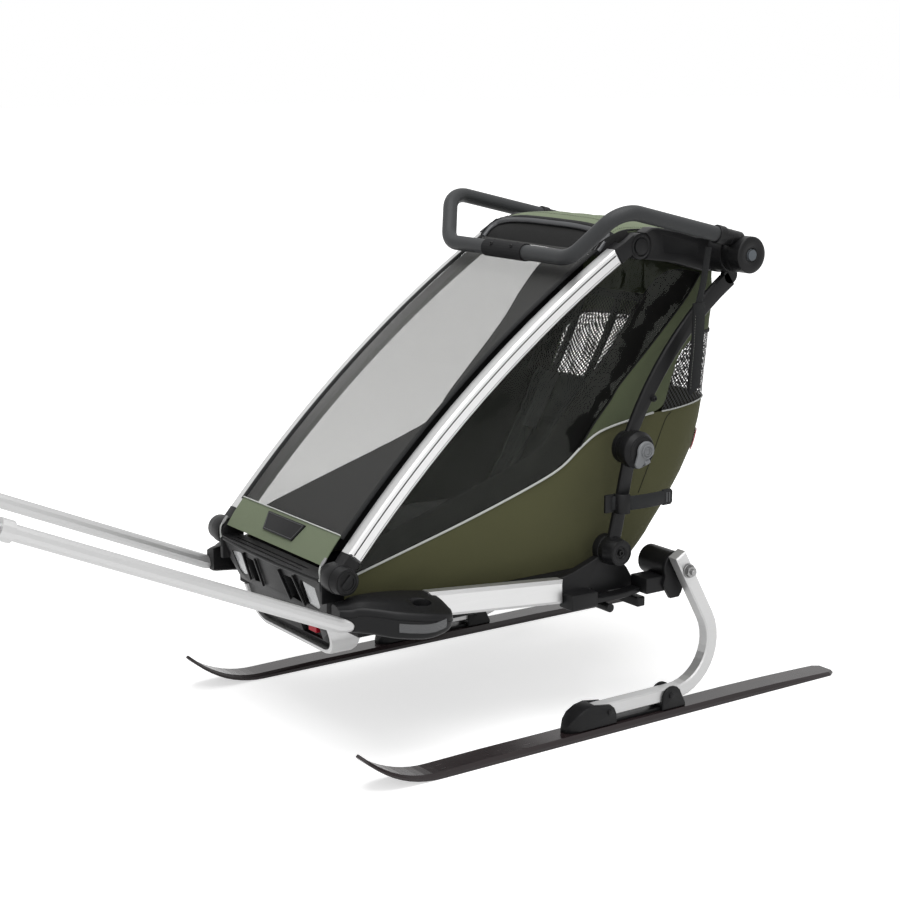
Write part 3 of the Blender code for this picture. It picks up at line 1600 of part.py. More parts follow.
def arm_bend_centre():
    slope = math.radians(ARM_SLOPE)
    corner_y = AXLE[0] + (AXLE[1] - arm_level()) / math.tan(slope)
    return (corner_y - ARM_BEND_RADIUS * math.tan((math.pi - slope) / 2), arm_level() + ARM_BEND_RADIUS)


def make_ski(side, s):
    """A short ski: a flat sole, a long upturned tip and shoulders that thin towards both ends."""
    length = SKI_REAR - SKI_FRONT
    turn = 2 * math.atan(SKI_TIP_HEIGHT / SKI_TIP_LENGTH)
    radius = SKI_TIP_LENGTH / math.sin(turn)
    start = SKI_FRONT + SKI_TIP_LENGTH
    stations = [
        (start - radius * math.sin(turn * i / 10), radius * (1 - math.cos(turn * i / 10)), turn * i / 10)
        for i in range(10, 0, -1)
    ]
    stations += [
        (start + (SKI_REAR - start) * t, 0, 0)
        for t in (0, 0.12, 0.24, 0.36, 0.48, 0.60, 0.72, 0.84, 0.94, 0.985, 1)
    ]
    rings = []
    for y, z, lean in stations:
        run = (y - SKI_FRONT) / length
        body = max(0, 1 - ((run - 0.50) / 0.52) ** 2)
        thick = SKI_END_THICKNESS + (SKI_THICKNESS - SKI_END_THICKNESS) * min(1, 1.5 * body)
        from_tip = min(1, (y - SKI_FRONT) / 0.075)
        from_tail = min(1, (SKI_REAR - y) / 0.016)
        wide = SKI_WIDTH / 2 * (1 - 0.055 * math.sin(math.pi * run))
        wide *= 0.12 + 0.88 * math.sqrt(max(0, 1 - (1 - from_tip) ** 2))
        wide *= 0.72 + 0.28 * math.sqrt(max(0, 1 - (1 - from_tail) ** 2))
        up = (thick * math.sin(lean), thick * math.cos(lean))
        bevel = min(0.006, wide * 0.3)
        section = [
            (-wide, 0), (-wide, 0.5), (-wide + bevel, 1), (wide - bevel, 1), (wide, 0.5), (wide, 0)
        ]
        rings.append([(s * (SKI_X + x), y + up[0] * t, z + up[1] * t) for x, t in section])
    return loft(f"ski_{side}", rings, finish("ski_brown", (0.045, 0.036, 0.038), 0.25))


def body_empty(name, place, root):
    """An empty on a joint's axis, which its pieces turn or slide with."""
    empty = bpy.data.objects.new(name, None)
    PARTS.objects.link(empty)
    empty.location = place
    empty.parent = root
    return empty


def carry(obj, empty):
    """Parents a piece, and all that cuts or joins it, to an empty, and leaves it where it is."""
    obj.parent = empty
    obj.location = -Vector(empty.location)
    for modifier in obj.modifiers:
        carry(modifier.object, empty)


def footprint_middle():
    slope = math.radians(POLE_SLOPE)
    front = POLE_BEND_Y - (POLE_LENGTH + POLE_REACH + 0.012) * math.cos(slope) - EYE_RADIUS
    return (front + SKI_REAR) / 2


def build():
    clear_scene()
    make_collections()
    root = bpy.data.objects.new("trailer_root", None)
    PARTS.objects.link(root)
    root.location = (0, -footprint_middle(), 0)
    chassis = body_empty("chassis", (0, 0, 0), root)
    a_frame = body_empty("fold_axis", (0, *FRONT_PIVOT), root)
    top_frame = body_empty("roof_axis", (0, *TOP_PIVOT), root)
    posts = body_empty("post_axis", (0, *REAR_PIVOT), root)
    bar = body_empty("handlebar_axis", (0, *HUB), root)

    for piece in (
        make_front_cradle(),
        make_front_hoop(),
        make_rear_crossbar(),
        make_tie_bar(),
        make_floor_tub(),
        make_seat_base(),
        make_seat_back(),
        make_rear_panel(),
        make_rear_mesh(),
    ):
        carry(piece, chassis)
    for piece in (make_roof_bow(), make_front_mesh(), make_front_flap()):
        carry(piece, a_frame)
    carry(make_canopy(), top_frame)
    carry(make_hitch_tab(), body_empty("catch_axis", tab_box()[0], root))
    carry(make_handlebar(), bar)
    carry(make_grip_sleeve(), bar)
    for side, s in sides():
        carrier = body_empty(f"leaf_axis_{side}", (0, *LEAF_FRONT), root)
        elbow = body_empty(f"lever_axis_{side}", (0, *lever_pivot()), root)
        button = body_empty(f"button_axis_{side}", (0, *HUB), root)
        slide = body_empty(f"pole_axis_{side}", along_pole(s, POLE_LENGTH), root)
        for make in (make_rail, make_side_pod, make_rear_casting, make_pole, make_side_panel):
            carry(make(side, s), chassis)
        carry(make_pole_front(side, s), slide)
        for make in (
            make_leaf_spring, make_axle_housing, make_ski_arm, make_front_bracket, make_rear_bracket,
            make_ski,
        ):
            carry(make(side, s), carrier)
        for make in (make_pillar, make_pillar_foot, make_corner_joint):
            carry(make(side, s), a_frame)
        for make in (make_top_arm, make_upper_post):
            carry(make(side, s), top_frame)
        for make in (make_lower_post, make_elbow_cap, make_strap_latch):
            carry(make(side, s), posts)
        carry(make_elbow_lever(side, s), elbow)
        carry(make_hub_button(side, s), button)


build()
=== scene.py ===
# %% [markdown]
# # A child trailer on its ski kit
# This lesson dresses a finished CAD model. The CAD gives every rigid piece its size and its place:
# rails, posts, castings, skis. What is left for this file is what a maker sees in the shop window,
# the cloth, the net, the clear windows, the padding, the small fittings and every surface finish.
#
# We load the model first, because every piece that follows is placed against it and moves with it.

# %% Load the model
import json
import math

import bmesh
import bpy
from mathutils import Matrix, Vector, noise

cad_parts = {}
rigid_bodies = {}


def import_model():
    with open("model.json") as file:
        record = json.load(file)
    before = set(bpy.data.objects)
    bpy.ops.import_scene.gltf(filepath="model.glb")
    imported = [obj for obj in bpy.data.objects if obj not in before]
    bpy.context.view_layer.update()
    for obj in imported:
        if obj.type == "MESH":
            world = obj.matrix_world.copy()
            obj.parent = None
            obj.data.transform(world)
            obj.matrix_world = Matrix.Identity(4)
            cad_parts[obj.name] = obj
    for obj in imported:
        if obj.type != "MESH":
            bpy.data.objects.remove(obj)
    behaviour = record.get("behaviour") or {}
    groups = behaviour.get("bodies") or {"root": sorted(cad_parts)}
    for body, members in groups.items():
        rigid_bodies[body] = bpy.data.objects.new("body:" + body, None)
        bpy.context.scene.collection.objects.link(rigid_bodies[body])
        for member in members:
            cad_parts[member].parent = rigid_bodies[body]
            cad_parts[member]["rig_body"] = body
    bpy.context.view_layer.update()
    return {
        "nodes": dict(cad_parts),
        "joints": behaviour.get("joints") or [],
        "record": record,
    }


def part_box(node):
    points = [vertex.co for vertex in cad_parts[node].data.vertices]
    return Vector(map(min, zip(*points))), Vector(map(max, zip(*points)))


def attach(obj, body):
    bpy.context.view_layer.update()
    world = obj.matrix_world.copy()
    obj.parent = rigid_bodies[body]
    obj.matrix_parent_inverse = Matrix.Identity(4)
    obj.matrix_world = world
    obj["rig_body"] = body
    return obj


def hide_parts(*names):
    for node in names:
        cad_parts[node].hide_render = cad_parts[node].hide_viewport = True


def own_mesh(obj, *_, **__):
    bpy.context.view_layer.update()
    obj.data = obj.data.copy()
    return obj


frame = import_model()
NODES = frame["nodes"]
JOINT = {joint["name"]: joint for joint in frame["joints"]}
SIDES = (("left", 1), ("right", -1))

# %% [markdown]
# ## Where things are
# Widths are X, heights are Z. Along the trailer the drawing counts Y from a line across the middle of
# the cabin, while the model counts from the middle of its footprint. The fold's axle is a place that
# both know, so the difference is read from it once. The frame's other pivots are noted here too, as Y
# and Z, since rings and screws are set on them later.

# %% A place on the drawing
FOLD_AXLE = (-0.455, 0.3315)
TOP_PIVOT = (0.1735, 0.8440)
HUB = (0.367, 0.824)
ELBOW = (0.1395, 0.4860)
REAR_PIVOT = (0.099, 0.303)
SKI_AXLE = (0.209, 0.266)
MIDDLE = JOINT["fold"]["pos_m"][1] - FOLD_AXLE[0]


def at(x, y, z):
    """A point of the drawing, as the model counts it."""
    return Vector((x, y + MIDDLE, z))


def side_to_side(steps):
    """Even shares from -1, the right side, to 1, the left one."""
    return [2 * i / steps - 1 for i in range(steps + 1)]


print("middle of the cabin at Y", round(MIDDLE, 5))

# %% [markdown]
# ## Camera
# The camera was found by fitting the straight rails and the two equal sides of the frame to their
# places in the picture: it stands to the front left at chest height, looks down twelve degrees and uses
# a long lens.

# %% Camera
PICTURE_PIXELS = 900
LENS_PIXELS = 1823.3
SENSOR = 36
LOOKS_DOWN = 12.106
LOOKS_LEFT = 55.35
CAMERA_PLACE = (2.684, -1.95, 1.17)
camera = bpy.data.cameras.new("camera")
camera.sensor_width = SENSOR
camera.lens = LENS_PIXELS / PICTURE_PIXELS * SENSOR
camera_stand = bpy.data.objects.new("camera", camera)
camera_stand.location = at(*CAMERA_PLACE)
camera_stand.rotation_euler = (math.radians(90 - LOOKS_DOWN), 0, math.radians(LOOKS_LEFT))
bpy.context.scene.collection.objects.link(camera_stand)
bpy.context.scene.camera = camera_stand
print("lens", round(camera.lens, 1), "mm")

# %% [markdown]
# ## Shader sums
# A finish is a small sum over the surface: a thread pattern times a strength, a stain added to a
# colour. Wiring each step by hand hides the sum, so one class wraps a socket and lets ordinary
# arithmetic make the Math nodes. Every other node comes from one method, which sets the node up and
# feeds its sockets.

# %% Sockets that can be added and multiplied


class Wire:
    """The output of a node, which can stand in a sum."""

    def __init__(self, finish, socket):
        self.finish, self.socket = finish, socket

    def sum(self, operation, first, second=0.0):
        return self.finish.node("Math", {"operation": operation}, {0: first, 1: second})

    def __add__(self, other):
        return self.sum("ADD", self, other)

    def __radd__(self, other):
        return self.sum("ADD", other, self)

    def __sub__(self, other):
        return self.sum("SUBTRACT", self, other)

    def __rsub__(self, other):
        return self.sum("SUBTRACT", other, self)

    def __mul__(self, other):
        return self.sum("MULTIPLY", self, other)

    def __rmul__(self, other):
        return self.sum("MULTIPLY", other, self)

    def sine(self):
        return self.sum("SINE", self)

    def above(self, level):
        return self.sum("GREATER_THAN", self, level)

    def size(self):
        return self.sum("ABSOLUTE", self)


class Finish:
    """A material in the making: its Principled shader and a way to add any node."""

    def __init__(self, name, colour, roughness, **constants):
        self.material = bpy.data.materials.new(name)
        self.material.use_nodes = True
        self.tree = self.material.node_tree
        self.shader = self.tree.nodes["Principled BSDF"]
        self.feed(self.shader, {"Base Color": colour, "Roughness": roughness, **constants})

    def feed(self, node, sockets):
        for socket, value in sockets.items():
            if isinstance(value, Wire):
                self.tree.links.new(value.socket, node.inputs[socket])
            elif isinstance(value, tuple) and len(value) == 3 and node.inputs[socket].type == "RGBA":
                node.inputs[socket].default_value = (*value, 1)
            else:
                node.inputs[socket].default_value = value

    def node(self, kind, settings=None, sockets=None, out=0):
        made = self.tree.nodes.new("ShaderNode" + kind)
        for name, value in (settings or {}).items():
            setattr(made, name, value)
        self.feed(made, sockets or {})
        return Wire(self, made.outputs[out])

    def set(self, **sockets):
        self.feed(self.shader, {name.replace("_", " "): value for name, value in sockets.items()})
        return self

    def place(self):
        """Where a point of the surface is, in metres."""
        return self.node("TexCoord", out="Object")

    def cloth_place(self):
        """Where a point of a cloth is, in metres along and across the cloth itself."""
        return self.node("Attribute", {"attribute_name": "cloth"}, out="Vector")

    def split(self, vector):
        made = self.tree.nodes.new("ShaderNodeSeparateXYZ")
        self.feed(made, {0: vector})
        return [Wire(self, made.outputs[i]) for i in range(3)]

    def stretch(self, vector, scale, turn=(0.0, 0.0, 0.0)):
        return self.node("Mapping", None, {"Vector": vector, "Scale": scale, "Rotation": turn})

    def clouds(self, scale, detail=2.0, vector=None):
        return self.node(
            "TexNoise",
            None,
            {"Vector": vector or self.place(), "Scale": scale, "Detail": detail},
            out="Fac",
        )

    def mix(self, share, first, second):
        """A colour between two, by a share that may change over the surface."""
        return self.node(
            "Mix", {"data_type": "RGBA"}, {"Factor": share, 6: first, 7: second}, out=2
        )

    def bump(self, height, depth, strength=1.0):
        return self.node("Bump", None, {"Height": height, "Distance": depth, "Strength": strength})


def tone(code):
    """The linear colour of a hex code."""
    parts = [int(code[i : i + 2], 16) / 255 for i in (0, 2, 4)]
    return tuple(c / 12.92 if c < 0.04045 else ((c + 0.055) / 1.055) ** 2.4 for c in parts)


def lighter(colour, factor):
    return tuple(min(1.0, c * factor) for c in colour)


print("black plastic is", [round(c, 4) for c in tone("121213")])

# %% [markdown]
# ## Studio
# The object stands on a white floor with a faint shadow. The floor and the sky are white only to the
# camera and to mirror-like surfaces, so that they do not flood the object with light. The floor glows
# more with the distance, so it has no horizon. One large soft lamp hangs over the roof, and a weaker
# one fills in from the camera's side.

# %% Floor
FLOOR_REACH = 40
FLOOR_GAP = 0.0005
FLOOR_NEAR, FLOOR_FAR = 0.9, 2.1
FLOOR_GLOW_NEAR, FLOOR_GLOW_FAR = 0.58, 1.03
DIRECT_RAYS = ("Is Camera Ray", "Is Glossy Ray", "Is Transmission Ray")


def seen_directly(finish):
    """1 for what the camera, a reflection or a clear film sees, 0 for light that falls on the object."""
    path = finish.tree.nodes.new("ShaderNodeLightPath")
    camera_ray, glossy_ray, clear_ray = [Wire(finish, path.outputs[name]) for name in DIRECT_RAYS]
    return camera_ray + glossy_ray + clear_ray


floor_mesh = bpy.data.meshes.new("floor")
floor_mesh.from_pydata(
    [
        (-FLOOR_REACH, -FLOOR_REACH, 0), (FLOOR_REACH, -FLOOR_REACH, 0),
        (FLOOR_REACH, FLOOR_REACH, 0), (-FLOOR_REACH, FLOOR_REACH, 0),
    ],
    [],
    [(0, 1, 2, 3)],
)
floor = bpy.data.objects.new("floor", floor_mesh)
floor.location.z = -FLOOR_GAP
bpy.context.scene.collection.objects.link(floor)
floor_white = Finish("floor_white", (0.75, 0.75, 0.75), 0.9)
from_middle = floor_white.node("VectorMath", {"operation": "LENGTH"}, {0: floor_white.place()}, out="Value")
rising = floor_white.node(
    "MapRange",
    None,
    {
        "Value": from_middle,
        "From Min": FLOOR_NEAR,
        "From Max": FLOOR_FAR,
        "To Min": FLOOR_GLOW_NEAR,
        "To Max": FLOOR_GLOW_FAR,
    },
)
glow = seen_directly(floor_white) * rising
floor_white.set(Emission_Color=glow, Emission_Strength=1.0, Specular_IOR_Level=0.0)
floor_mesh.materials.append(floor_white.material)
print("floor glows from", FLOOR_GLOW_NEAR, "to", FLOOR_GLOW_FAR)

# %% Sky
SKY_LIGHT = 0.42
sky = bpy.data.worlds.new("sky")
bpy.context.scene.world = sky
sky.use_nodes = True
sky_tree = sky.node_tree
background = sky_tree.nodes["Background"]
background.inputs["Color"].default_value = (1, 1, 1, 1)
path = sky_tree.nodes.new("ShaderNodeLightPath")
level = None
for ray in DIRECT_RAYS:
    step = sky_tree.nodes.new("ShaderNodeMath")
    step.operation = "MAXIMUM"
    sky_tree.links.new(path.outputs[ray], step.inputs[0])
    if level:
        sky_tree.links.new(level, step.inputs[1])
    else:
        step.inputs[1].default_value = SKY_LIGHT
    level = step.outputs[0]
sky_tree.links.new(level, background.inputs["Strength"])
print("sky lights the object at", SKY_LIGHT)

# %% Lamps


def lamp(name, place, target, size, watts):
    """A square soft lamp that points at a target."""
    light = bpy.data.lights.new(name, "AREA")
    light.size = size
    light.energy = watts
    holder = bpy.data.objects.new(name, light)
    holder.location = place
    holder.rotation_euler = (target - place).to_track_quat("-Z", "Y").to_euler()
    bpy.context.scene.collection.objects.link(holder)


lamp("top_lamp", at(0.6, -0.5, 3.2), at(0, 0, 0.4), 2.6, 95)
lamp("fill_lamp", at(2.6, -1.0, 1.6), at(0, 0, 0.4), 2.0, 16)
bpy.context.scene.view_settings.view_transform = "Standard"

# %% [markdown]
# ## Moulded plastic
# The pillars' corners, the castings, the cradle and the lower parts are black glass-filled nylon. It
# comes out of the mould with a fine matt grain and goes grey where it is rubbed. A voronoi grain would
# look like leather, so two layers of noise make the height: a fine one for the grain and a wide one for
# slight waves.

# %% Moulded plastic


def moulded(name, code, roughness=0.5, grain=1800.0, depth=0.00006, worn=1.25, specular=0.17):
    """Injection-moulded plastic: a matt grain with cloudy wear."""
    colour = tone(code)
    finish = Finish(name, colour, roughness)
    wear = finish.clouds(14.0, 4.0)
    grain_height = finish.clouds(grain, 1.0)
    waves = finish.clouds(60.0, 2.0)
    finish.set(
        Base_Color=finish.mix(wear, lighter(colour, 0.86), lighter(colour, worn)),
        Roughness=roughness - 0.08 + wear * 0.16,
        Normal=finish.bump(grain_height + waves * 1.5, depth),
        Specular_IOR_Level=specular,
    )
    return finish.material


PLASTIC = {
    "black": moulded("black_moulding", "121213", 0.42),
    "lever": moulded("lever_grey_moulding", "76787a", 0.42, worn=1.1),
    "button": moulded("button_grey_moulding", "5a5f64", 0.4, worn=1.1),
    "post": moulded("post_black_coating", "141415", 0.34, grain=900.0),
    "spring": moulded("spring_black", "141415", 0.32, grain=700.0),
    "red": moulded("catch_red_moulding", "b4182c", 0.38, worn=1.08),
    "floor": moulded("floor_black_moulding", "121213", 0.6, grain=500.0, depth=0.00015),
}
print(len(PLASTIC), "plastics")

# %% [markdown]
# ## Aluminium
# The rails and pillars are extruded and brushed along their length, while the poles and ski arms are
# anodised and look satin. Brushing is noise that is squeezed across the tube and stretched along it, so
# the same recipe takes the direction of the extrusion. The anodised tubes get a much finer, weaker
# version.

# %% Aluminium


def aluminium(name, code, along, roughness, depth, streak=0.05, metal=0.85):
    """Extruded aluminium, with lines drawn out along one axis."""
    colour = tone(code)
    finish = Finish(name, colour, roughness)
    scale = [900.0, 900.0, 900.0]
    scale[along] = 9.0
    lines = finish.clouds(1.0, 3.0, finish.stretch(finish.place(), tuple(scale)))
    smudge = finish.clouds(9.0, 3.0)
    finish.set(
        Base_Color=finish.mix(lines, lighter(colour, 0.94), lighter(colour, 1.05)),
        Metallic=metal,
        Roughness=roughness + lines * streak + smudge * 0.08,
        Normal=finish.bump(lines, depth),
    )
    return finish.material


METAL = {
    "rail": aluminium("brushed_rail", "c4c4c4", 1, 0.3, 0.00002),
    "pillar": aluminium("brushed_pillar", "cccccc", 2, 0.3, 0.00002),
    "pole": aluminium("satin_pole", "bcbcbc", 1, 0.36, 0.00001, 0.03, 0.75),
    "steel": aluminium("screw_steel", "8c8c8c", 2, 0.28, 0.00001),
}
print(len(METAL), "metals")

# %% [markdown]
# ## Woven cloth
# The cabin is sewn from coated polyester in two greens. Its weave is a grid of threads that cross over
# and under: one set of threads is high where the other is low. Two sine waves, one for each set, take
# turns by the sign of their product, which gives a plain weave with no texture file. Threads are 0.7 mm
# apart here, coarse enough to show in a close view.

# %% Woven cloth
THREAD = 0.0007


def woven(name, code, roughness=0.78, thread=THREAD, depth=0.0003, fade=0.12):
    """Plain-woven cloth, with one set of threads upright and the other one level."""
    colour = tone(code)
    finish = Finish(name, colour, roughness)
    turn = math.pi / thread
    across, along, up = finish.split(finish.place())
    warp = ((across + along) * turn).sine()
    weft = (up * turn).sine()
    threads = (warp * weft).size()
    stain = finish.clouds(7.0, 4.0)
    slub = finish.clouds(260.0, 2.0)
    shade = threads * 0.35 + slub * 0.35 + stain * 0.3
    finish.set(
        Base_Color=finish.mix(shade, lighter(colour, 1 - fade * 2), lighter(colour, 1 + fade)),
        Roughness=roughness - 0.1 + shade * 0.2,
        Normal=finish.bump(threads + slub * 0.6, depth, 0.6),
        Sheen_Weight=0.04,
        Sheen_Roughness=0.5,
        Specular_IOR_Level=0.15,
    )
    return finish.material


CLOTH = {
    "green": woven("green_cloth", "6c755f"),
    "olive": woven("olive_cloth", "505036"),
    "side": woven("olive_green_cloth", "545b44"),
    # Black cloth for the black parts, and also for the sheets of painted shade inside the cabin.
    "black_cloth_and_shade": woven("black_cloth_and_painted_shade", "141414", fade=0.2),
    "webbing": woven("black_webbing", "18191a", 0.7, 0.0013, 0.0006, 0.25),
    "seat": woven("seat_cloth", "2a2b2c", 0.85, 0.0011, 0.0004, 0.2),
    "binding": woven("black_binding", "161617", 0.72, 0.001, 0.0004, 0.2),
    "piping": woven("silver_piping", "b9bbb8", 0.55, 0.001, 0.0002, 0.08),
    "pull": woven("zip_pull_cord", "8f9189", 0.6, 0.001, 0.0003, 0.1),
}
print(len(CLOTH), "cloths")

# %% [markdown]
# ## Net
# The front cover and the back vent are knitted net. Its holes have to let light and sight through, so
# they are cut with the material's alpha. A hole is round where two cosines, one along and one across
# the cloth, add up to more than a level, and the level sets how open the net is. The layout comes from
# each sheet's own "cloth" layer, in metres, so the holes keep their size wherever the sheet bends.

# %% Net


def net(name, code, pitch, open_level):
    """Knitted net with round holes in a staggered grid."""
    colour = tone(code)
    finish = Finish(name, colour, 0.7)
    u, v = finish.split(finish.cloth_place())[:2]
    half_turn = math.pi / pitch
    quarter = math.pi / 2
    first = ((u + v) * half_turn + quarter).sine()
    second = ((u - v) * half_turn + quarter).sine()
    hole = (first + second).above(open_level)
    rib = (first * second).size()
    finish.set(
        Base_Color=finish.mix(rib, lighter(colour, 1.3), lighter(colour, 0.75)),
        Alpha=1.0 - hole,
        Normal=finish.bump(first * second, 0.0002, 0.7),
        Specular_IOR_Level=0.3,
    )
    return finish.material


NET = {
    "front": net("front_net", "3a3a39", 0.0010, 0.4),
    "vent": net("vent_net", "141414", 0.0040, 0.35),
    "seat": net("seat_net", "121212", 0.0042, 0.1),
}
print(len(NET), "nets")

# %% [markdown]
# ## Window film
# The side windows are clear vinyl. Sight goes straight through it, and the bright room shows on it in
# wavy streaks where the sheet isn't flat. A Mix Shader between a transparent and a mirror-like surface,
# led by Fresnel, does both without bending what lies behind, and a low-frequency bump makes the waves.

# %% Window film


def window_film(name, tint, ior, wave_depth):
    """Clear vinyl that mirrors more at a slant."""
    colour = tone(tint)
    finish = Finish(name, colour, 0.09)
    waves = finish.clouds(9.0, 2.0)
    ripple = finish.clouds(38.0, 1.0)
    bump = finish.bump(waves + ripple * 0.12, wave_depth)
    finish.set(Normal=bump, Metallic=1.0, Roughness=0.05 + ripple * 0.08)
    clear = finish.node("BsdfTransparent", None, {"Color": (0.88, 0.88, 0.87)})
    mirror = finish.node("Fresnel", None, {"IOR": ior, "Normal": bump})
    shine = Wire(finish, finish.shader.outputs[0])
    both = finish.node("MixShader", None, {0: mirror, 1: clear, 2: shine})
    finish.tree.links.new(both.socket, finish.tree.nodes["Material Output"].inputs["Surface"])
    return finish.material


WINDOW = window_film("window_vinyl", "d7dcd2", 1.27, 0.012)
print("window film ready")

# %% [markdown]
# ## Rubber, foam and lacquer
# The grip is foam rubber, the elbow strap is soft rubber, the skis have a hard glossy lacquer with fine
# dust and scratches, and the reflectors are ribbed acrylic. They share the moulded recipe, apart from the
# skis and reflectors.

# %% Rubber, lacquer and reflector


def lacquer(name, code):
    """A glossy lacquered ski with fine scratches along it."""
    colour = tone(code)
    finish = Finish(name, colour, 0.22)
    scratches = finish.clouds(1.0, 4.0, finish.stretch(finish.place(), (700.0, 12.0, 700.0)))
    dust = finish.clouds(30.0, 5.0)
    finish.set(
        Base_Color=finish.mix(dust, lighter(colour, 0.9), lighter(colour, 1.15)),
        Roughness=0.14 + scratches * 0.12 + dust * 0.08,
        Normal=finish.bump(scratches, 0.00001),
        Coat_Weight=0.05,
        Coat_Roughness=0.08,
        Specular_IOR_Level=0.3,
    )
    return finish.material


def reflector(name, code, pitch=0.0024):
    """Moulded acrylic with rows of tiny corner prisms."""
    colour = tone(code)
    finish = Finish(name, colour, 0.2)
    across, along, up = finish.split(finish.place())
    turn = math.pi / pitch
    prisms = ((across + along) * turn).sine().size() * (up * turn).sine().size()
    finish.set(
        Base_Color=finish.mix(prisms, lighter(colour, 0.7), lighter(colour, 1.5)),
        Normal=finish.bump(prisms, 0.0004),
        Coat_Weight=0.6,
        Coat_Roughness=0.05,
    )
    return finish.material


SKI_LACQUER = lacquer("ski_lacquer", "221b1c")
RUBBER = {
    "strap": moulded("strap_rubber", "1c1d1e", 0.55, 700.0, 0.00008),
    "grip": moulded("grip_foam", "1c1c1d", 0.85, 420.0, 0.0003),
}
REFLECTOR = {
    "clear": reflector("pod_reflector", "25272a"),
    "red": reflector("red_reflector", "a31a17"),
    "white": reflector("white_reflector", "b9bbbc"),
}
print("lacquer, rubber and reflectors ready")

# %% [markdown]
# ## Lines on the drawing
# Seams, hems and the frame itself are drawn in side view, as points of Y and Z. A sewn line is never a
# chain of straight pieces, so the few points that fix it are joined by a smooth spline and then walked
# in even steps. The pillar is one long arc, and the front cover follows it, so that arc has a function
# of its own.

# %% Smooth and even lines
LIFT_CORNER = (0.1735, 0.8575)
PILLAR_RISE = 0.0358


def evenly(points, count):
    """count points at even steps along a chain of points."""
    points = [Vector(p) for p in points]
    reach = [0.0]
    for a, b in zip(points, points[1:]):
        reach.append(reach[-1] + (b - a).length)
    spread, k = [], 0
    for i in range(count):
        goal = reach[-1] * i / (count - 1)
        while k < len(points) - 2 and reach[k + 1] < goal:
            k += 1
        step = reach[k + 1] - reach[k]
        spread.append(points[k].lerp(points[k + 1], (goal - reach[k]) / step if step else 0.0))
    return spread


def smooth(points, count=40):
    """count even points on a spline through the given ones."""
    points = [Vector(p) for p in points]
    ends = [2 * points[0] - points[1]] + points + [2 * points[-1] - points[-2]]
    fine = []
    for a, b, c, d in zip(ends, ends[1:], ends[2:], ends[3:]):
        for i in range(10):
            t = i / 10
            bend = (2 * a - 5 * b + 4 * c - d) * t * t + (3 * b - a - 3 * c + d) * t**3
            fine.append((2 * b + (c - a) * t + bend) / 2)
    return evenly(fine + [points[-1]], count)


def pillar_arc(first, last, count, lift=0.0):
    """Points (Y, Z) on the pillar's arc, by shares of its length, moved out by a lift."""
    start, end = Vector(FOLD_AXLE), Vector(LIFT_CORNER)
    chord = end - start
    along = chord.normalized()
    left = Vector((-along.y, along.x))
    radius = (chord.length_squared / 4 + PILLAR_RISE**2) / (2 * PILLAR_RISE)
    centre = (start + end) / 2 + left * (PILLAR_RISE - radius)
    half = math.asin(chord.length / 2 / radius)
    points = []
    for i in range(count):
        turn = half * (2 * (first + (last - first) * i / (count - 1)) - 1)
        points.append(centre + (left * math.cos(turn) + along * math.sin(turn)) * (radius + lift))
    return points


print("pillar's middle at", [round(v, 3) for v in pillar_arc(0, 1, 3)[1]])

# %% [markdown]
# ## From lines to sheets
# A panel of cloth is cut to four edges, so its surface can be filled from them: a Coons patch blends
# the two long edges and the two short ones and takes away their corners once. Every sheet also gets a
# "cloth" layer, the distance in metres along and across the cut, which the net reads.

# %% Filling a panel


def fill(bottom, top, left, right, columns, rows):
    """A grid of points inside four edges. Left and right run from bottom to top."""
    bottom, top = evenly(bottom, columns + 1), evenly(top, columns + 1)
    left, right = evenly(left, rows + 1), evenly(right, rows + 1)
    grid = []
    for j in range(rows + 1):
        v = j / rows
        line = []
        for i in range(columns + 1):
            u = i / columns
            edges = bottom[i] * (1 - v) + top[i] * v + left[j] * (1 - u) + right[j] * u
            low_corners = bottom[0] * (1 - u) + bottom[-1] * u
            high_corners = top[0] * (1 - u) + top[-1] * u
            line.append(edges - (low_corners * (1 - v) + high_corners * v))
        grid.append(line)
    return grid


def shade(mesh, sharp):
    """Smooth shading, broken at edges sharper than an angle in degrees."""
    mesh.polygons.foreach_set("use_smooth", [True] * len(mesh.polygons))
    mesh.set_sharp_from_angle(angle=math.radians(sharp))


def place_mesh(name, mesh, body=None):
    """The mesh as a piece of the scene, which rides on a body of the frame."""
    piece = bpy.data.objects.new(name, mesh)
    bpy.context.scene.collection.objects.link(piece)
    if body:
        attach(piece, body)
    return piece


def bake_shape(shape, name, look=None):
    """A mesh made from an edited shape."""
    mesh = bpy.data.meshes.new(name)
    shape.to_mesh(mesh)
    shape.free()
    if look:
        mesh.materials.append(look)
    return mesh


def make_object(name, vertices, faces, look, body, sharp=40):
    """A piece from its points and faces."""
    mesh = bpy.data.meshes.new(name)
    mesh.from_pydata([tuple(v) for v in vertices], [], faces)
    mesh.validate()
    mesh.materials.append(look)
    shade(mesh, sharp)
    return place_mesh(name, mesh, body)


def turn_outward(mesh):
    """Face normals point out of a closed mesh."""
    shape = bmesh.new()
    shape.from_mesh(mesh)
    bmesh.ops.recalc_face_normals(shape, faces=shape.faces)
    shape.to_mesh(mesh)
    shape.free()


def grid_area(grid):
    area = 0.0
    for low, high in zip(grid, grid[1:]):
        for a, b, c, d in zip(low, low[1:], high[1:], high):
            area += ((b - a).cross(c - a).length + (c - a).cross(d - a).length) / 2
    return area


def layout(grid):
    """Metres along and across the cloth for each point of a grid, from its middle lines."""
    middle = grid[len(grid) // 2]
    along = [0.0]
    for a, b in zip(middle, middle[1:]):
        along.append(along[-1] + (b - a).length)
    column = [line[len(line) // 2] for line in grid]
    across = [0.0]
    for a, b in zip(column, column[1:]):
        across.append(across[-1] + (b - a).length)
    return along, across


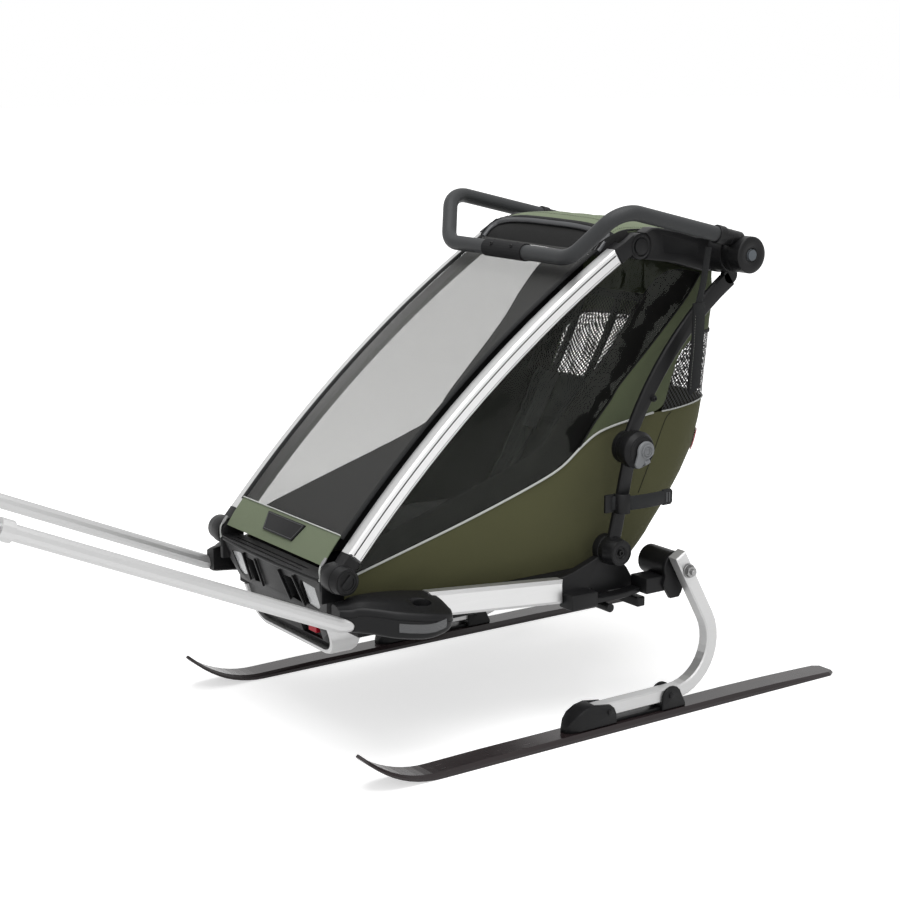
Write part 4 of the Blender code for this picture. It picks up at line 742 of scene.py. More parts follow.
def sheet_of(name, grid, look, body, thickness=0.0, inward=None):
    """A cloth from a grid of points: one layer, or two with a rim when it has a thickness."""
    rows, columns = len(grid), len(grid[0])
    along, across = layout(grid)
    points = [p for line in grid for p in line]
    places = [(u, v, 0.0) for v in across for u in along]
    faces = [
        (j * columns + i, j * columns + i + 1, (j + 1) * columns + i + 1, (j + 1) * columns + i)
        for j in range(rows - 1)
        for i in range(columns - 1)
    ]
    if thickness:
        count = len(points)
        points += [p + inward(p) * thickness for p in points]
        places += places
        faces += [tuple(k + count for k in face[::-1]) for face in faces]
        rim = [(0, i) for i in range(columns)]
        rim += [(j, columns - 1) for j in range(1, rows)]
        rim += [(rows - 1, i) for i in range(columns - 2, -1, -1)]
        rim += [(j, 0) for j in range(rows - 2, 0, -1)]
        rim = [j * columns + i for j, i in rim]
        for a, b in zip(rim, rim[1:] + rim[:1]):
            faces.append((b, a, a + count, b + count))
    piece = make_object(name, points, faces, look, body)
    if thickness:
        turn_outward(piece.data)
    cloth = piece.data.attributes.new("cloth", "FLOAT_VECTOR", "POINT")
    cloth.data.foreach_set("vector", [value for place in places for value in place])
    piece["cut"] = (along[-1], across[-1], grid_area(grid))
    return piece


SLIMMEST_SHARE = 0.301


def declare_sheet(piece):
    """Print the size the cloth was cut to and the area that it takes."""
    width, length, area = piece["cut"]
    grown = max(1.0, area / (width * length))
    width, length = width * grown**0.5, length * grown**0.5
    area = min(area, width * length)
    kept_area = max(area, SLIMMEST_SHARE * width * length)
    print(piece.name, "cut", round(width, 3), "x", round(length, 3), "m, area", round(area, 4))


# %% [markdown]
# ## From lines to cords, straps and bars
# Piping, zips, straps and webbing all are one section drawn along a line. The section turns with the
# line and keeps facing a given way, so that a strap lies flat on its cloth. A turned profile makes the
# round fittings, and a ring of its profile may be a hexagon, which gives a screw its socket.

# %% Sweeping and turning


def circle(radius, count=10):
    return [
        (radius * math.cos(2 * math.pi * i / count), radius * math.sin(2 * math.pi * i / count))
        for i in range(count)
    ]


def strap_section(width, thickness):
    """A flat section with softened edges."""
    w, t = width / 2, thickness / 2
    e = min(t, w) * 0.7
    low = [(-w, -t + e), (-w + e, -t), (0, -t), (w - e, -t), (w, -t + e)]
    return low + [(w, t - e), (w - e, t), (0, t), (-w + e, t), (-w, t - e)]


def loft(name, rings, look, body, sharp, closed=False):
    """A closed skin over rings of points, with a flat cap at each end or joined to a loop."""
    count, sides = len(rings), len(rings[0])
    faces = []
    for i in range(count if closed else count - 1):
        low, high = i * sides, (i + 1) % count * sides
        for j in range(sides):
            faces.append((low + j, low + (j + 1) % sides, high + (j + 1) % sides, high + j))
    if not closed:
        faces += [tuple(range(sides))[::-1], tuple((count - 1) * sides + j for j in range(sides))]
    piece = make_object(name, [point for ring in rings for point in ring], faces, look, body, sharp)
    turn_outward(piece.data)
    return piece


def sweep(name, path, section, facing, look, body, closed=False):
    """A section along a path. Its first axis lies across the path and its second one faces a given way."""
    path = [Vector(p) for p in path]
    count = len(path)
    rings = []
    for i, point in enumerate(path):
        before = path[i - 1] if i or closed else point
        after = path[(i + 1) % count] if i + 1 < count or closed else point
        along = (after - before).normalized()
        toward = facing(point) if callable(facing) else Vector(facing)
        across = along.cross(toward).normalized()
        out = across.cross(along)
        rings.append([point + across * a + out * b for a, b in section])
    return loft(name, rings, look, body, 50, closed)


def turned(name, profile, centre, axis, look, body, count=32):
    """A turned piece: rings of (radius, height) along an axis, or (radius, height, 6) for a hexagon."""
    axis = Vector(axis).normalized()
    side = axis.orthogonal().normalized()
    other = axis.cross(side)
    rings = []
    for radius, height, *corners in profile:
        ring = []
        for i in range(count):
            angle = 2 * math.pi * i / count
            reach = radius
            if corners:
                slice_angle = 2 * math.pi / corners[0]
                reach = radius / math.cos((angle + slice_angle / 2) % slice_angle - slice_angle / 2)
            around = side * math.cos(angle) + other * math.sin(angle)
            ring.append(Vector(centre) + axis * height + around * reach)
        rings.append(ring)
    return loft(name, rings, look, body, 35)


def moulded_plate(name, outline, normal, thickness, look, body, edge=0.0008):
    """A small plate: an outline in space, drawn out along a normal, with rounded edges."""
    shape = bmesh.new()
    base = shape.faces.new([shape.verts.new(p) for p in outline])
    grown = bmesh.ops.extrude_face_region(shape, geom=[base])
    moved = [v for v in grown["geom"] if isinstance(v, bmesh.types.BMVert)]
    bmesh.ops.translate(shape, verts=moved, vec=Vector(normal).normalized() * thickness)
    bmesh.ops.recalc_face_normals(shape, faces=shape.faces)
    if edge:
        bmesh.ops.bevel(shape, geom=list(shape.edges), offset=edge, segments=3, profile=0.6, affect="EDGES")
    mesh = bake_shape(shape, name, look)
    shade(mesh, 40)
    return place_mesh(name, mesh, body)


def joined(name, pieces, body):
    """Several small pieces made one, such as a row of screws."""
    shape = bmesh.new()
    looks = []
    for piece in pieces:
        look = piece.data.materials[0]
        if look not in looks:
            looks.append(look)
        start = len(shape.faces)
        shape.from_mesh(piece.data)
        shape.faces.ensure_lookup_table()
        for face in shape.faces[start:]:
            face.material_index = looks.index(look)
        bpy.data.objects.remove(piece)
    mesh = bake_shape(shape, name)
    for look in looks:
        mesh.materials.append(look)
    mesh.set_sharp_from_angle(angle=math.radians(40))
    return place_mesh(name, mesh, body)


STITCH, STITCH_GAP, SEWING_THREAD = 0.0034, 0.0014, 0.0006


def stitches(name, path, facing, look, body):
    """A row of sewn stitches: each one a short thread that dips into the cloth at both ends."""
    path = [Vector(p) for p in path]
    total = sum((b - a).length for a, b in zip(path, path[1:]))
    count = max(2, int(total / (STITCH + STITCH_GAP)))
    marks = evenly(path, count * 2 + 1)
    row = []
    for start, end in zip(marks[0::2], marks[1::2]):
        toward = facing(start) if callable(facing) else Vector(facing)
        middle = (start + end) / 2 + toward * SEWING_THREAD * 0.5
        dip = toward * SEWING_THREAD
        thread = circle(SEWING_THREAD / 2, 5)
        row.append(sweep(name + "_one", [start - dip, middle, end - dip], thread, toward, look, None))
    return joined(name, row, body)


print("helpers ready")

# %% [markdown]
# ## The carried-over solids
# The rigid CAD pieces are already the right shape, so they only need their finish. The record says which
# material slot each piece belongs to, and one table turns a slot into a finish. A few pieces differ from
# their slot on the real object: the castings have a rougher grain than the posts, and the bar is painted.

# %% Finish the rigid pieces
LOOK_OF_SLOT = {
    "black_plastic": PLASTIC["black"],
    "bare_aluminium": METAL["pillar"],
    "satin_aluminium": METAL["pole"],
    "lever_grey": PLASTIC["lever"],
    "post_black": PLASTIC["post"],
    "strap_rubber": RUBBER["strap"],
    "button_grey": PLASTIC["button"],
    "spring_black": PLASTIC["spring"],
    "catch_red": PLASTIC["red"],
    "floor_black": PLASTIC["floor"],
    "ski_brown": SKI_LACQUER,
}
PLASTIC["bar"] = moulded("bar_coating", "343536", 0.5, grain=700.0, depth=0.0001)
PLASTIC["bow"] = moulded("bow_grey_moulding", "38393b", 0.36, specular=0.4)
LOOK_OF_NODE = {
    "handlebar": PLASTIC["bar"],
    "grip_sleeve": RUBBER["grip"],
    "roof_bow": PLASTIC["bow"],
    "rail_left": METAL["rail"],
    "rail_right": METAL["rail"],
}
dressed = 0
for subpart in frame["record"]["subparts"]:
    look = LOOK_OF_NODE.get(subpart["node"]) or LOOK_OF_SLOT.get(subpart["material_slot"])
    if look:
        solid = NODES[subpart["node"]]
        solid.data.materials.clear()
        solid.data.materials.append(look)
        dressed += 1
print(dressed, "solids have their finish")

# %% [markdown]
# ## Front cover
# The front cover is a net that is stretched between the two pillars, zipped along both long edges and
# sewn to a solid cloth foot. From outside it reads as a grey veil. It takes one bent sheet on the
# pillars' own arc: a stretched net has no folds, only a slight dip between its edges where nothing
# holds it.

# %% Front net
NET_LIFT = 0.0212
NET_FIRST, NET_LAST = 0.072, 0.910
NET_HALF = 0.1772
NET_DIP = 0.0015


def on_cover(share, x, lift=NET_LIFT):
    """A point of the front cover."""
    y, z = pillar_arc(share, share, 2, lift)[0]
    return at(x, y, z)


def cover_out(point):
    """The cover's outward direction near a point."""
    in_middle = Vector((0, point[1], point[2]))
    share = min((k / 40 for k in range(41)), key=lambda nearby: (on_cover(nearby, 0) - in_middle).length)
    return (on_cover(share, 0, 0.05) - on_cover(share, 0, 0.0)).normalized()


def along_cover(x, lift, steps=40):
    """A line up the cover at a width."""
    return [on_cover(NET_FIRST + (NET_LAST - NET_FIRST) * k / steps, x, lift) for k in range(steps + 1)]


def cover_grid(rows, columns):
    """Rows of points across the cover, from low to high, with a slight dip in the middle."""
    grid = []
    for j in range(rows + 1):
        share = NET_FIRST + (NET_LAST - NET_FIRST) * j / rows
        line = []
        for u in side_to_side(columns):
            line.append(on_cover(share, NET_HALF * u, NET_LIFT - NET_DIP * (1 - u * u)))
        grid.append(line)
    return grid


front_net = sheet_of("front_net", cover_grid(36, 16), NET["front"], "front_frame")
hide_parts("front_mesh")
declare_sheet(front_net)

# %% [markdown]
# The net's two long edges are bound with black webbing that hides the zips. The binding is a flat strap
# along the arc, sewn with two rows of stitches, and the zip's teeth show as a fine ridge beside it.

# %% Edge bindings and zips
BINDING_WIDTH, BINDING_THICKNESS = 0.0105, 0.0018
BINDING_SEAMS = (0.0022, 0.0082)
for side, s in SIDES:
    line = along_cover(s * (NET_HALF - BINDING_WIDTH / 2), NET_LIFT + 0.0006)
    section = strap_section(BINDING_WIDTH, BINDING_THICKNESS)
    binding = sweep(f"net_binding_{side}", line, section, cover_out, CLOTH["binding"], "front_frame")
    for row, inset in enumerate(BINDING_SEAMS):
        seam = along_cover(s * (NET_HALF - inset), NET_LIFT + 0.0016)
        stitches(f"net_stitches_{side}_{row}", seam, cover_out, CLOTH["binding"], "front_frame")
    teeth = along_cover(s * (NET_HALF - BINDING_WIDTH - 0.0008), NET_LIFT + 0.0004, 60)
    sweep(f"net_zip_{side}", teeth, circle(0.0009, 8), cover_out, PLASTIC["black"], "front_frame")
print("front net bound along both pillars")

# %% [markdown]
# ## Cloth foot and bare plate
# Below the net the cover ends in a foot of green cloth, piped in silver, which closes on the cradle. In
# the middle it carries a moulded plate, left bare here. The foot is two layers of coated cloth, so it
# gets a real thickness, and the plate is an outline drawn out and rounded.

# %% Front foot
FOOT_LOW, FOOT_HIGH = Vector((-0.4665, 0.3475)), Vector((-0.4305, 0.3945))
FOOT_UP = (FOOT_HIGH - FOOT_LOW).normalized()
FOOT_OUT = Vector((-FOOT_UP.y, FOOT_UP.x))
FOOT_NORMAL = Vector((0, FOOT_OUT.x, FOOT_OUT.y))
FOOT_TOP, FOOT_HALF = 0.0590, 0.1680
PLATE_OUTLINE = [(-0.0635, 0.052), (0.0635, 0.052), (0.0500, 0.018), (-0.0500, 0.018)]
PLATE_RIM = [(-0.0595, 0.0495), (0.0595, 0.0495), (0.0475, 0.0205), (-0.0475, 0.0205)]
PLATE_THICKNESS = 0.0038


def on_foot(x, along, lift=0.0015):
    """A point of the cover's foot, by its distance up the slope."""
    y, z = FOOT_LOW + FOOT_UP * along + FOOT_OUT * lift
    return at(x, y, z)


foot_grid = [
    [
        on_foot(FOOT_HALF * u, FOOT_TOP * j / 8, 0.0018 + 0.0012 * math.sin(math.pi * j / 8))
        for u in side_to_side(24)
    ]
    for j in range(9)
]
front_foot = sheet_of(
    "front_foot", foot_grid, CLOTH["green"], "front_frame", 0.0018, lambda p: -FOOT_NORMAL
)
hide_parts("front_flap")
declare_sheet(front_foot)
foot_edge = [on_foot(FOOT_HALF * u, FOOT_TOP, 0.0026) for u in side_to_side(30)]
sweep("front_foot_piping", foot_edge, circle(0.0012, 10), FOOT_NORMAL, CLOTH["piping"], "front_frame")
plate = [on_foot(x, along, 0.0022) for x, along in PLATE_OUTLINE]
moulded_plate("bare_plate", plate, FOOT_NORMAL, PLATE_THICKNESS, PLASTIC["black"], "front_frame", 0.0012)
rim = [on_foot(x, along, 0.0060) for x, along in PLATE_RIM]
rim_line = evenly(rim + rim[:1], 81)[:-1]
rim_section = circle(0.0006, 6)
sweep("bare_plate_rim", rim_line, rim_section, FOOT_NORMAL, PLASTIC["bow"], "front_frame", closed=True)
print("front foot", round(FOOT_TOP * 1000), "mm deep")

# %% [markdown]
# ## Roof cloth
# The roof is one crowned sheet between the two top arms. It is pulled from the front hem to the back,
# so it has a long fullness across and faint tension folds toward the arms. The folds are a small sum of
# waves that fade toward the hems, and a black binding closes its edges.

# %% Roof
ROOF_HALF = 0.1780
ROOF_LINE = [
    (0.136, 0.861), (0.165, 0.869), (0.225, 0.8665), (0.295, 0.855), (0.362, 0.838), (0.385, 0.826),
]
ROOF_CROWN = [0.018, 0.018, 0.018, 0.0153, 0.0108, 0.0065]
ROOF_STEPS = 60
roof_profile = smooth([(y, z, crown) for (y, z), crown in zip(ROOF_LINE, ROOF_CROWN)], ROOF_STEPS + 1)


def roof_point(v, u, lift=0.0):
    """A point of the roof, v from front to back and u from right to left, -1 to 1."""
    y, z, crown = roof_profile[round(v * ROOF_STEPS)]
    fold = 0.0007 * math.sin(17 * u + 9 * v) * math.sin(math.pi * v) * (1 - u * u)
    fold += 0.0009 * noise.noise(Vector((u * 2.2, v * 3.1, 4.0)))
    return at(ROOF_HALF * u, y, z + crown * (1 - u**4) + fold + lift)


UP, DOWN = Vector((0, 0, 1)), Vector((0, 0, -1))
roof_grid = [[roof_point(j / 30, u) for u in side_to_side(30)] for j in range(31)]
roof = sheet_of("roof_cloth", roof_grid, CLOTH["green"], "roof_frame", 0.002, lambda p: DOWN)
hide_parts("canopy")
declare_sheet(roof)
hem = [roof_point(0.0, u, 0.0004) for u in side_to_side(40)]
sweep("roof_front_binding", hem, strap_section(0.009, 0.0034), (0, -0.5, 1), CLOTH["binding"], "roof_frame")
for side, s in SIDES:
    edge = [roof_point(j / 40, s * 0.985, 0.0006) for j in range(41)]
    section = strap_section(0.007, 0.003)
    sweep(f"roof_side_binding_{side}", edge, section, UP, CLOTH["binding"], "roof_frame")
    inner = [roof_point(j / 40, s * 0.93, 0.0008) for j in range(1, 41)]
    stitches(f"roof_side_stitches_{side}", inner, UP, CLOTH["binding"], "roof_frame")
front_seam = [roof_point(0.1, u, 0.0008) for u in side_to_side(40)[2:39]]
stitches("roof_front_stitches", front_seam, UP, CLOTH["binding"], "roof_frame")
print("roof reaches z", round(max(p.z for line in roof_grid for p in line), 3))

# %% [markdown]
# A black apron of cloth closes the space between the net's top edge and the roof's front hem, round the
# moulded bow. It belongs to the front frame, because the net ends in it.

# %% Apron under the roof
APRON_HALF, APRON_CROWN = 0.1765, 0.012
apron_foot = tuple(pillar_arc(0.905, 0.905, 2, NET_LIFT - 0.001)[0])
apron_rows = smooth([apron_foot, (0.112, 0.833), (0.128, 0.845), (0.139, 0.857)], 9)
apron_grid = [
    [at(APRON_HALF * u, y, z + APRON_CROWN * (1 - u**4) * j / 8) for u in side_to_side(20)]
    for j, (y, z) in enumerate(apron_rows)
]
apron_in = Vector((0, 0.7, -0.7))
apron = sheet_of("roof_apron", apron_grid, CLOTH["black_cloth_and_shade"], "front_frame", 0.0012, lambda p: apron_in)
declare_sheet(apron)
print("apron of", len(apron_rows), "rows")

# %% [markdown]
# ## Cabin sides
# Each side is sewn from three parts: heavy olive cloth below a piped line, a lighter green panel that
# sweeps up to the roof, and a clear window between them. They all lie in one plane, held by the pillar
# in front and the back seam behind. Each part is cut by its four edges. The cloth swells a few
# millimetres outward, as tensioned cloth over foam does, and carries shallow wrinkles that run from the
# corners that pull it.

# %% The side's lines
PIPED_LINE = [
    (-0.4320, 0.3185), (-0.3927, 0.3293), (-0.3205, 0.3484), (-0.1772, 0.3871), (-0.0472, 0.4267),
    (0.0243, 0.4539), (0.0762, 0.4898), (0.1175, 0.5107), (0.1904, 0.5247), (0.2400, 0.5310),
]
WINDOW_REAR = [
    (0.0669, 0.4846), (0.1000, 0.5265), (0.1373, 0.5657), (0.1578, 0.5913), (0.2332, 0.6606),
    (0.3097, 0.7351), (0.3463, 0.7808),
]
ROOF_EDGE = [(0.1500, 0.8280), (0.2000, 0.8200), (0.2700, 0.8060), (0.3300, 0.7870), (0.3463, 0.7808)]
BACK_SEAM = [
    (0.1180, 0.2625), (0.1280, 0.2923), (0.1400, 0.3300), (0.1650, 0.4000), (0.2350, 0.5250),
    (0.2400, 0.5310),
]
NET_FRONT = [
    (0.2400, 0.5310), (0.2660, 0.5450), (0.2830, 0.5900), (0.3050, 0.6380), (0.3480, 0.6760),
    (0.3540, 0.7300), (0.3600, 0.7790),
]
SIDE_X = 0.1745
piped = smooth(PIPED_LINE, 120)
window_start = min(range(120), key=lambda k: (piped[k] - Vector(WINDOW_REAR[0])).length)
piped_front, piped_back = piped[: window_start + 1], piped[window_start:]


def freedom(step, steps):
    """How freely cloth moves between two sewn edges: 0 at both and 1 halfway."""
    return math.sin(math.pi * step / steps) ** 0.7 if 0 < step < steps else 0


def on_side(grid, s, swell, wrinkle, seed):
    """Side-view points put on the side's plane, swollen outward and wrinkled."""
    rows, columns = len(grid) - 1, len(grid[0]) - 1
    placed = []
    for j, line in enumerate(grid):
        out = []
        for i, (y, z) in enumerate(line):
            free = freedom(i, columns) * freedom(j, rows)
            crease = noise.noise(Vector((y * 9 + z * 4, z * 14 - y * 5, seed)))
            out.append(at(s * (SIDE_X + free * (swell + wrinkle * crease)), y, z))
        placed.append(out)
    return placed


CABIN_FLOOR = 0.262
FOLDED_SHARE = 0.12


def fold_with_cabin(piece, floor=CABIN_FLOOR):
    """The piece takes a mesh of its own."""
    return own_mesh(piece, "fold", UP, at(0, 0, floor), FOLDED_SHARE)


print("window starts", window_start, "steps along the piped line")

# %% Lower cloth, upper cloth and window
LOWER_EDGE = [(-0.4300, 0.2625), (0.1180, 0.2625)]
LOWER_FRONT = [(-0.4300, 0.2625), (-0.4340, 0.2900), (-0.4320, 0.3185)]
UPPER_TOP = [(0.3463, 0.7808), (0.3610, 0.7790)]
CLOTH_THICKNESS = 0.0016
window_front = [LOWER_FRONT[-1]] + [tuple(p) for p in pillar_arc(0.05, 0.945, 40)] + [ROOF_EDGE[0]]
window_rear = smooth(WINDOW_REAR, 50)
lower = fill(LOWER_EDGE, piped, LOWER_FRONT, smooth(BACK_SEAM, 30), 70, 22)
upper = fill(piped_back, UPPER_TOP, window_rear, smooth(NET_FRONT, 50), 20, 46)
clear = fill(piped_front, smooth(ROOF_EDGE, 40), window_front, window_rear, 60, 34)

for side, s in SIDES:
    inward = Vector((-s, 0, 0))
    lower_cloth = sheet_of(
        f"lower_cloth_{side}",
        on_side(lower, s, 0.0045, 0.0035, 1.7),
        CLOTH["olive"],
        "chassis",
        CLOTH_THICKNESS,
        lambda p: inward,
    )
    upper_cloth = sheet_of(
        f"upper_cloth_{side}",
        on_side(upper, s, 0.0030, 0.0030, 5.2),
        CLOTH["side"],
        "chassis",
        CLOTH_THICKNESS,
        lambda p: inward,
    )
    window = sheet_of(f"side_window_{side}", on_side(clear, s, 0.0030, 0.0050, 9.1), WINDOW, "chassis")
    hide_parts(f"side_panel_{side}")
    held_by = ((lower_cloth, "floor_tub"), (upper_cloth, f"side_panel_{side}"), (window, f"pillar_{side}"))
    for piece, rest in held_by:
        declare_sheet(piece)
        fold_with_cabin(piece)
print("three panels a side")

# %% Piping and stitches of the sides
CORDS = (
    ("piping", piped, 0.0022, CLOTH["piping"]),
    ("window_piping", window_rear, 0.0012, CLOTH["binding"]),
)
SEAM_ROWS = (
    ("lower", piped, (0.0, -0.006), CLOTH["olive"]),
    ("upper", window_rear, (0.004, 0.0), CLOTH["side"]),
)
for side, s in SIDES:
    outward = (s, 0, 0)
    for part, line, radius, look in CORDS:
        path = [at(s * (SIDE_X + 0.0012), y, z) for y, z in line]
        fold_with_cabin(sweep(f"{part}_{side}", path, circle(radius, 8), outward, look, "chassis"))
    for part, line, (shift_y, shift_z), look in SEAM_ROWS:
        row = [at(s * (SIDE_X + 0.0011), y + shift_y, z + shift_z) for y, z in line]
        fold_with_cabin(stitches(f"{part}_stitches_{side}", row, outward, look, "chassis"))
print("sides sewn")

# %% [markdown]
# ## Back of the cabin
# The back wraps round from side to side in one soft bow: olive cloth below, a wide-holed vent net
# across the middle and green cloth above it. In plan it is nearly a box with round corners, which a
# superellipse draws with one exponent. Each height has its own depth, so the back leans as the seat
# behind it does.

# %% Back sheets
BACK_DEPTH = [
    (0.2625, 0.222), (0.2923, 0.262), (0.330, 0.300), (0.348, 0.318), (0.400, 0.358), (0.455, 0.390),
    (0.500, 0.402), (0.545, 0.407), (0.640, 0.408), (0.725, 0.402), (0.775, 0.394), (0.815, 0.388),
    (0.830, 0.3835),
]
SEAM_RUN = [
    (0.1180, 0.2623), (0.1280, 0.2923), (0.1400, 0.330), (0.1650, 0.400), (0.235, 0.525), (0.255, 0.570),
    (0.352, 0.725), (0.362, 0.775), (0.370, 0.815), (0.372, 0.830),
]
SEAM_AT = [(z, y) for y, z in SEAM_RUN]
NET_SIDE_AT = [(z, y) for y, z in NET_FRONT[1:]]
CORNER_POWER = 0.45
PLAN_STEPS = 300


def between(table, key):
    """The value of a table at a key, on straight lines between its rows."""
    for (low, first), (high, second) in zip(table, table[1:]):
        if key <= high:
            return first + (second - first) * max(0.0, key - low) / (high - low)
    return table[-1][1]


def back_point(z, turn, lift=0.0):
    """A point of the back at a height, by the turn round it: 0 at the left seam and 1 at the right one."""
    seam = between(SEAM_AT, z)
    deep = between(BACK_DEPTH, z)
    angle = math.pi * turn
    c, q = math.cos(angle), math.sin(angle)
    x = (SIDE_X + lift) * math.copysign(abs(c) ** CORNER_POWER, c)
    return at(x, seam + (deep + lift - seam) * abs(q) ** CORNER_POWER, z)


def on_both(s, point):
    """The point on the left side, or its mirror image on the right."""
    return Vector((s * point.x, point.y, point.z))


def turn_at(z, y):
    """The turn at which the back's plan reaches a Y."""
    seam = between(SEAM_AT, z)
    share = max(0.0, min(1.0, (y - seam) / (between(BACK_DEPTH, z) - seam)))
    return math.asin(share ** (1 / CORNER_POWER)) / math.pi


def even_turns(z, first, count):
    """Turns round the back, from first to 1 - first, that make even steps of cloth."""
    fine = [
        first + (1 - 2 * first) * (0.5 - 0.5 * math.cos(math.pi * k / PLAN_STEPS))
        for k in range(PLAN_STEPS + 1)
    ]
    plan = [Vector((*back_point(z, turn)[:2], 0)) for turn in fine]
    marks, k = [], 0
    for goal in evenly(plan, count):
        k = min(range(k, PLAN_STEPS + 1), key=lambda n: (plan[n] - goal).length)
        marks.append(fine[k])
    return marks


PIPED_BACK, PIPED_SIDE = 0.5450, 0.5310
NET_TOP = 0.672


def brim(turn):
    """The height of the piped edge, which drops toward both sides to meet their piping."""
    inward = min(1.0, 3.2 * min(turn, 1 - turn))
    return PIPED_SIDE + (PIPED_BACK - PIPED_SIDE) * inward * (2 - inward)


def back_grid(levels, still, first_turn, columns, wave):
    """Rows round the back at rising levels. They drop with the piped edge, less toward a still level."""
    grid = []
    for z in levels:
        nearness = max(0.0, (z - still) / (PIPED_BACK - still)) if still else 0.0
        line = []
        for turn in even_turns(z, first_turn(z), columns):
            crease = noise.noise(Vector((turn * 7, z * 11, 3.0)))
            line.append(back_point(z + (brim(turn) - PIPED_BACK) * nearness, turn, wave * crease))
        grid.append(line)
    return grid


def heights(low, high, count):
    return [low + (high - low) * k / count for k in range(count + 1)]


def back_inward(point):
    middle = at(0, 0.20, point.z)
    return (middle - point).normalized()


def net_turn(z):
    """The turn at which the vent net and the cloth above it begin."""
    return turn_at(z, between(NET_SIDE_AT, z))


BACK_WAVE = 0.0025
print("piped edge rises", round((PIPED_BACK - PIPED_SIDE) * 1000), "mm round the back")

# %% The three back sheets
back_cloth = sheet_of(
    "back_cloth",
    back_grid(heights(0.2625, 0.5445, 22), 0.2625, lambda z: 0.0, 49, BACK_WAVE),
    CLOTH["olive"],
    "chassis",
    CLOTH_THICKNESS,
    back_inward,
)
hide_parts("rear_panel")
back_net = sheet_of(
    "back_net",
    back_grid(heights(0.5455, NET_TOP, 10), NET_TOP, net_turn, 49, 0.0),
    NET["vent"],
    "chassis",
)
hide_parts("rear_mesh")
back_upper_cloth = sheet_of(
    "back_upper_cloth",
    back_grid(heights(NET_TOP, 0.829, 13), None, net_turn, 49, BACK_WAVE),
    CLOTH["side"],
    "chassis",
    CLOTH_THICKNESS,
    back_inward,
)
for piece in (back_cloth, back_net, back_upper_cloth):
    declare_sheet(piece)
    fold_with_cabin(piece)

# %% Piping, binding and seams of the back
SEAM_BEHIND = [(0.285, 0.5274), (0.2707, 0.5139), (0.2400, 0.4480), (0.2088, 0.3828)]
piped_ring = [back_point(brim(turn), turn, 0.0012) for turn in even_turns(PIPED_BACK, 0.004, 60)]
fold_with_cabin(sweep("back_piping", piped_ring, circle(0.0014, 8), UP, CLOTH["piping"], "chassis"))
top_ring = [back_point(NET_TOP, turn, 0.0008) for turn in even_turns(NET_TOP, net_turn(NET_TOP) + 0.01, 60)]
top_section = strap_section(0.007, 0.0022)
fold_with_cabin(
    sweep("net_top_binding", top_ring, top_section, lambda p: -back_inward(p), CLOTH["binding"], "chassis")
)
for side, s in SIDES:
    seam = [on_both(s, back_point(z, turn_at(z, y), 0.0003)) for y, z in smooth(SEAM_BEHIND, 30)]
    section = circle(0.0006, 6)
    fold_with_cabin(sweep(f"side_seam_{side}", seam, section, (s, 0, 0), CLOTH["black_cloth_and_shade"], "chassis"))
print("back sewn")

# %% [markdown]
# ## Painted shade inside the cabin
# Inside the cabin, a black cloth sheet lines both sides up to a line that runs higher than the piping. It
# is painted shade: through the net and the windows it is what makes the cabin dark below and light
# above. It is one more panel between four edges, three millimetres inside the outer cloth.

# %% Painted shade sheets
SHADE_SHEET_X = 0.1712
SHADE_SHEET_TOP = [
    (-0.4150, 0.3540), (-0.3873, 0.3689), (-0.2765, 0.4050), (-0.0920, 0.4629), (-0.0136, 0.4950),
    (0.0239, 0.5401), (0.1428, 0.6610), (0.1935, 0.7242), (0.2447, 0.7760), (0.2900, 0.7900),
    (0.3480, 0.7800),
]
SHADE_SHEET_FOOT = [(-0.4260, 0.2640), (0.1140, 0.2640)]
SHADE_SHEET_FRONT = [SHADE_SHEET_FOOT[0], SHADE_SHEET_TOP[0]]
SHADE_SHEET_BACK = [SHADE_SHEET_FOOT[1], (0.1600, 0.4000), (0.2280, 0.5250)]
SHADE_SHEET_BACK += [(y - 0.006, z) for y, z in NET_FRONT[1:-1]] + [SHADE_SHEET_TOP[-1]]
shade_sheet_top = smooth(SHADE_SHEET_TOP, 60)
panel = fill(SHADE_SHEET_FOOT, shade_sheet_top, SHADE_SHEET_FRONT, smooth(SHADE_SHEET_BACK, 50), 60, 24)


def shade_sheet_point(s, y, z):
    """A point of the painted shade sheet, which isn't quite flat."""
    return at(s * (SHADE_SHEET_X + 0.0012 * noise.noise(Vector((y * 8, z * 8, 2)))), y, z)


# Each side gets a black sheet of painted shade for the inside of the cabin, with a hem along its top.
for side, s in SIDES:
    grid = [[shade_sheet_point(s, y, z) for y, z in line] for line in panel]
    black_cloth_and_shade = sheet_of(f"lining_{side}", grid, CLOTH["black_cloth_and_shade"], "chassis")
    declare_sheet(black_cloth_and_shade)
    fold_with_cabin(black_cloth_and_shade)
    hem = [at(s * (SHADE_SHEET_X - 0.0008), y, z) for y, z in shade_sheet_top]
    hem_section = strap_section(0.007, 0.0016)
    fold_with_cabin(sweep(f"shade_sheet_hem_{side}", hem, hem_section, (s, 0, 0), CLOTH["binding"], "chassis"))
print("lined up to z", SHADE_SHEET_TOP[-1][1])

# %% [markdown]
# ## Seat cushion and back pad
# The seat is two foam pads in a dark knit: a base on the seat box, and a back that stops at shoulder
# height. Real pads are sewn shells under slight pressure, so each starts as its CAD solid, is remeshed
# to even cells and blown up by a short cloth simulation with gravity off. A cap keeps every point near
# its start, so that the pad stays in its place. Channels come afterwards, because a remesh would erase
# them.

# %% Blow up a pad
PAD_CELL = 0.005
PAD_SHRINK = 0.003
PAD_FRAMES = 20
PAD_PRESSURE = 4.0
CHANNEL_WIDTH = 0.004


def keep_result(piece):
    """The piece's modifiers become its mesh."""
    graph = bpy.context.evaluated_depsgraph_get()
    mesh = bpy.data.meshes.new_from_object(piece.evaluated_get(graph))
    piece.modifiers.clear()
    piece.data = mesh


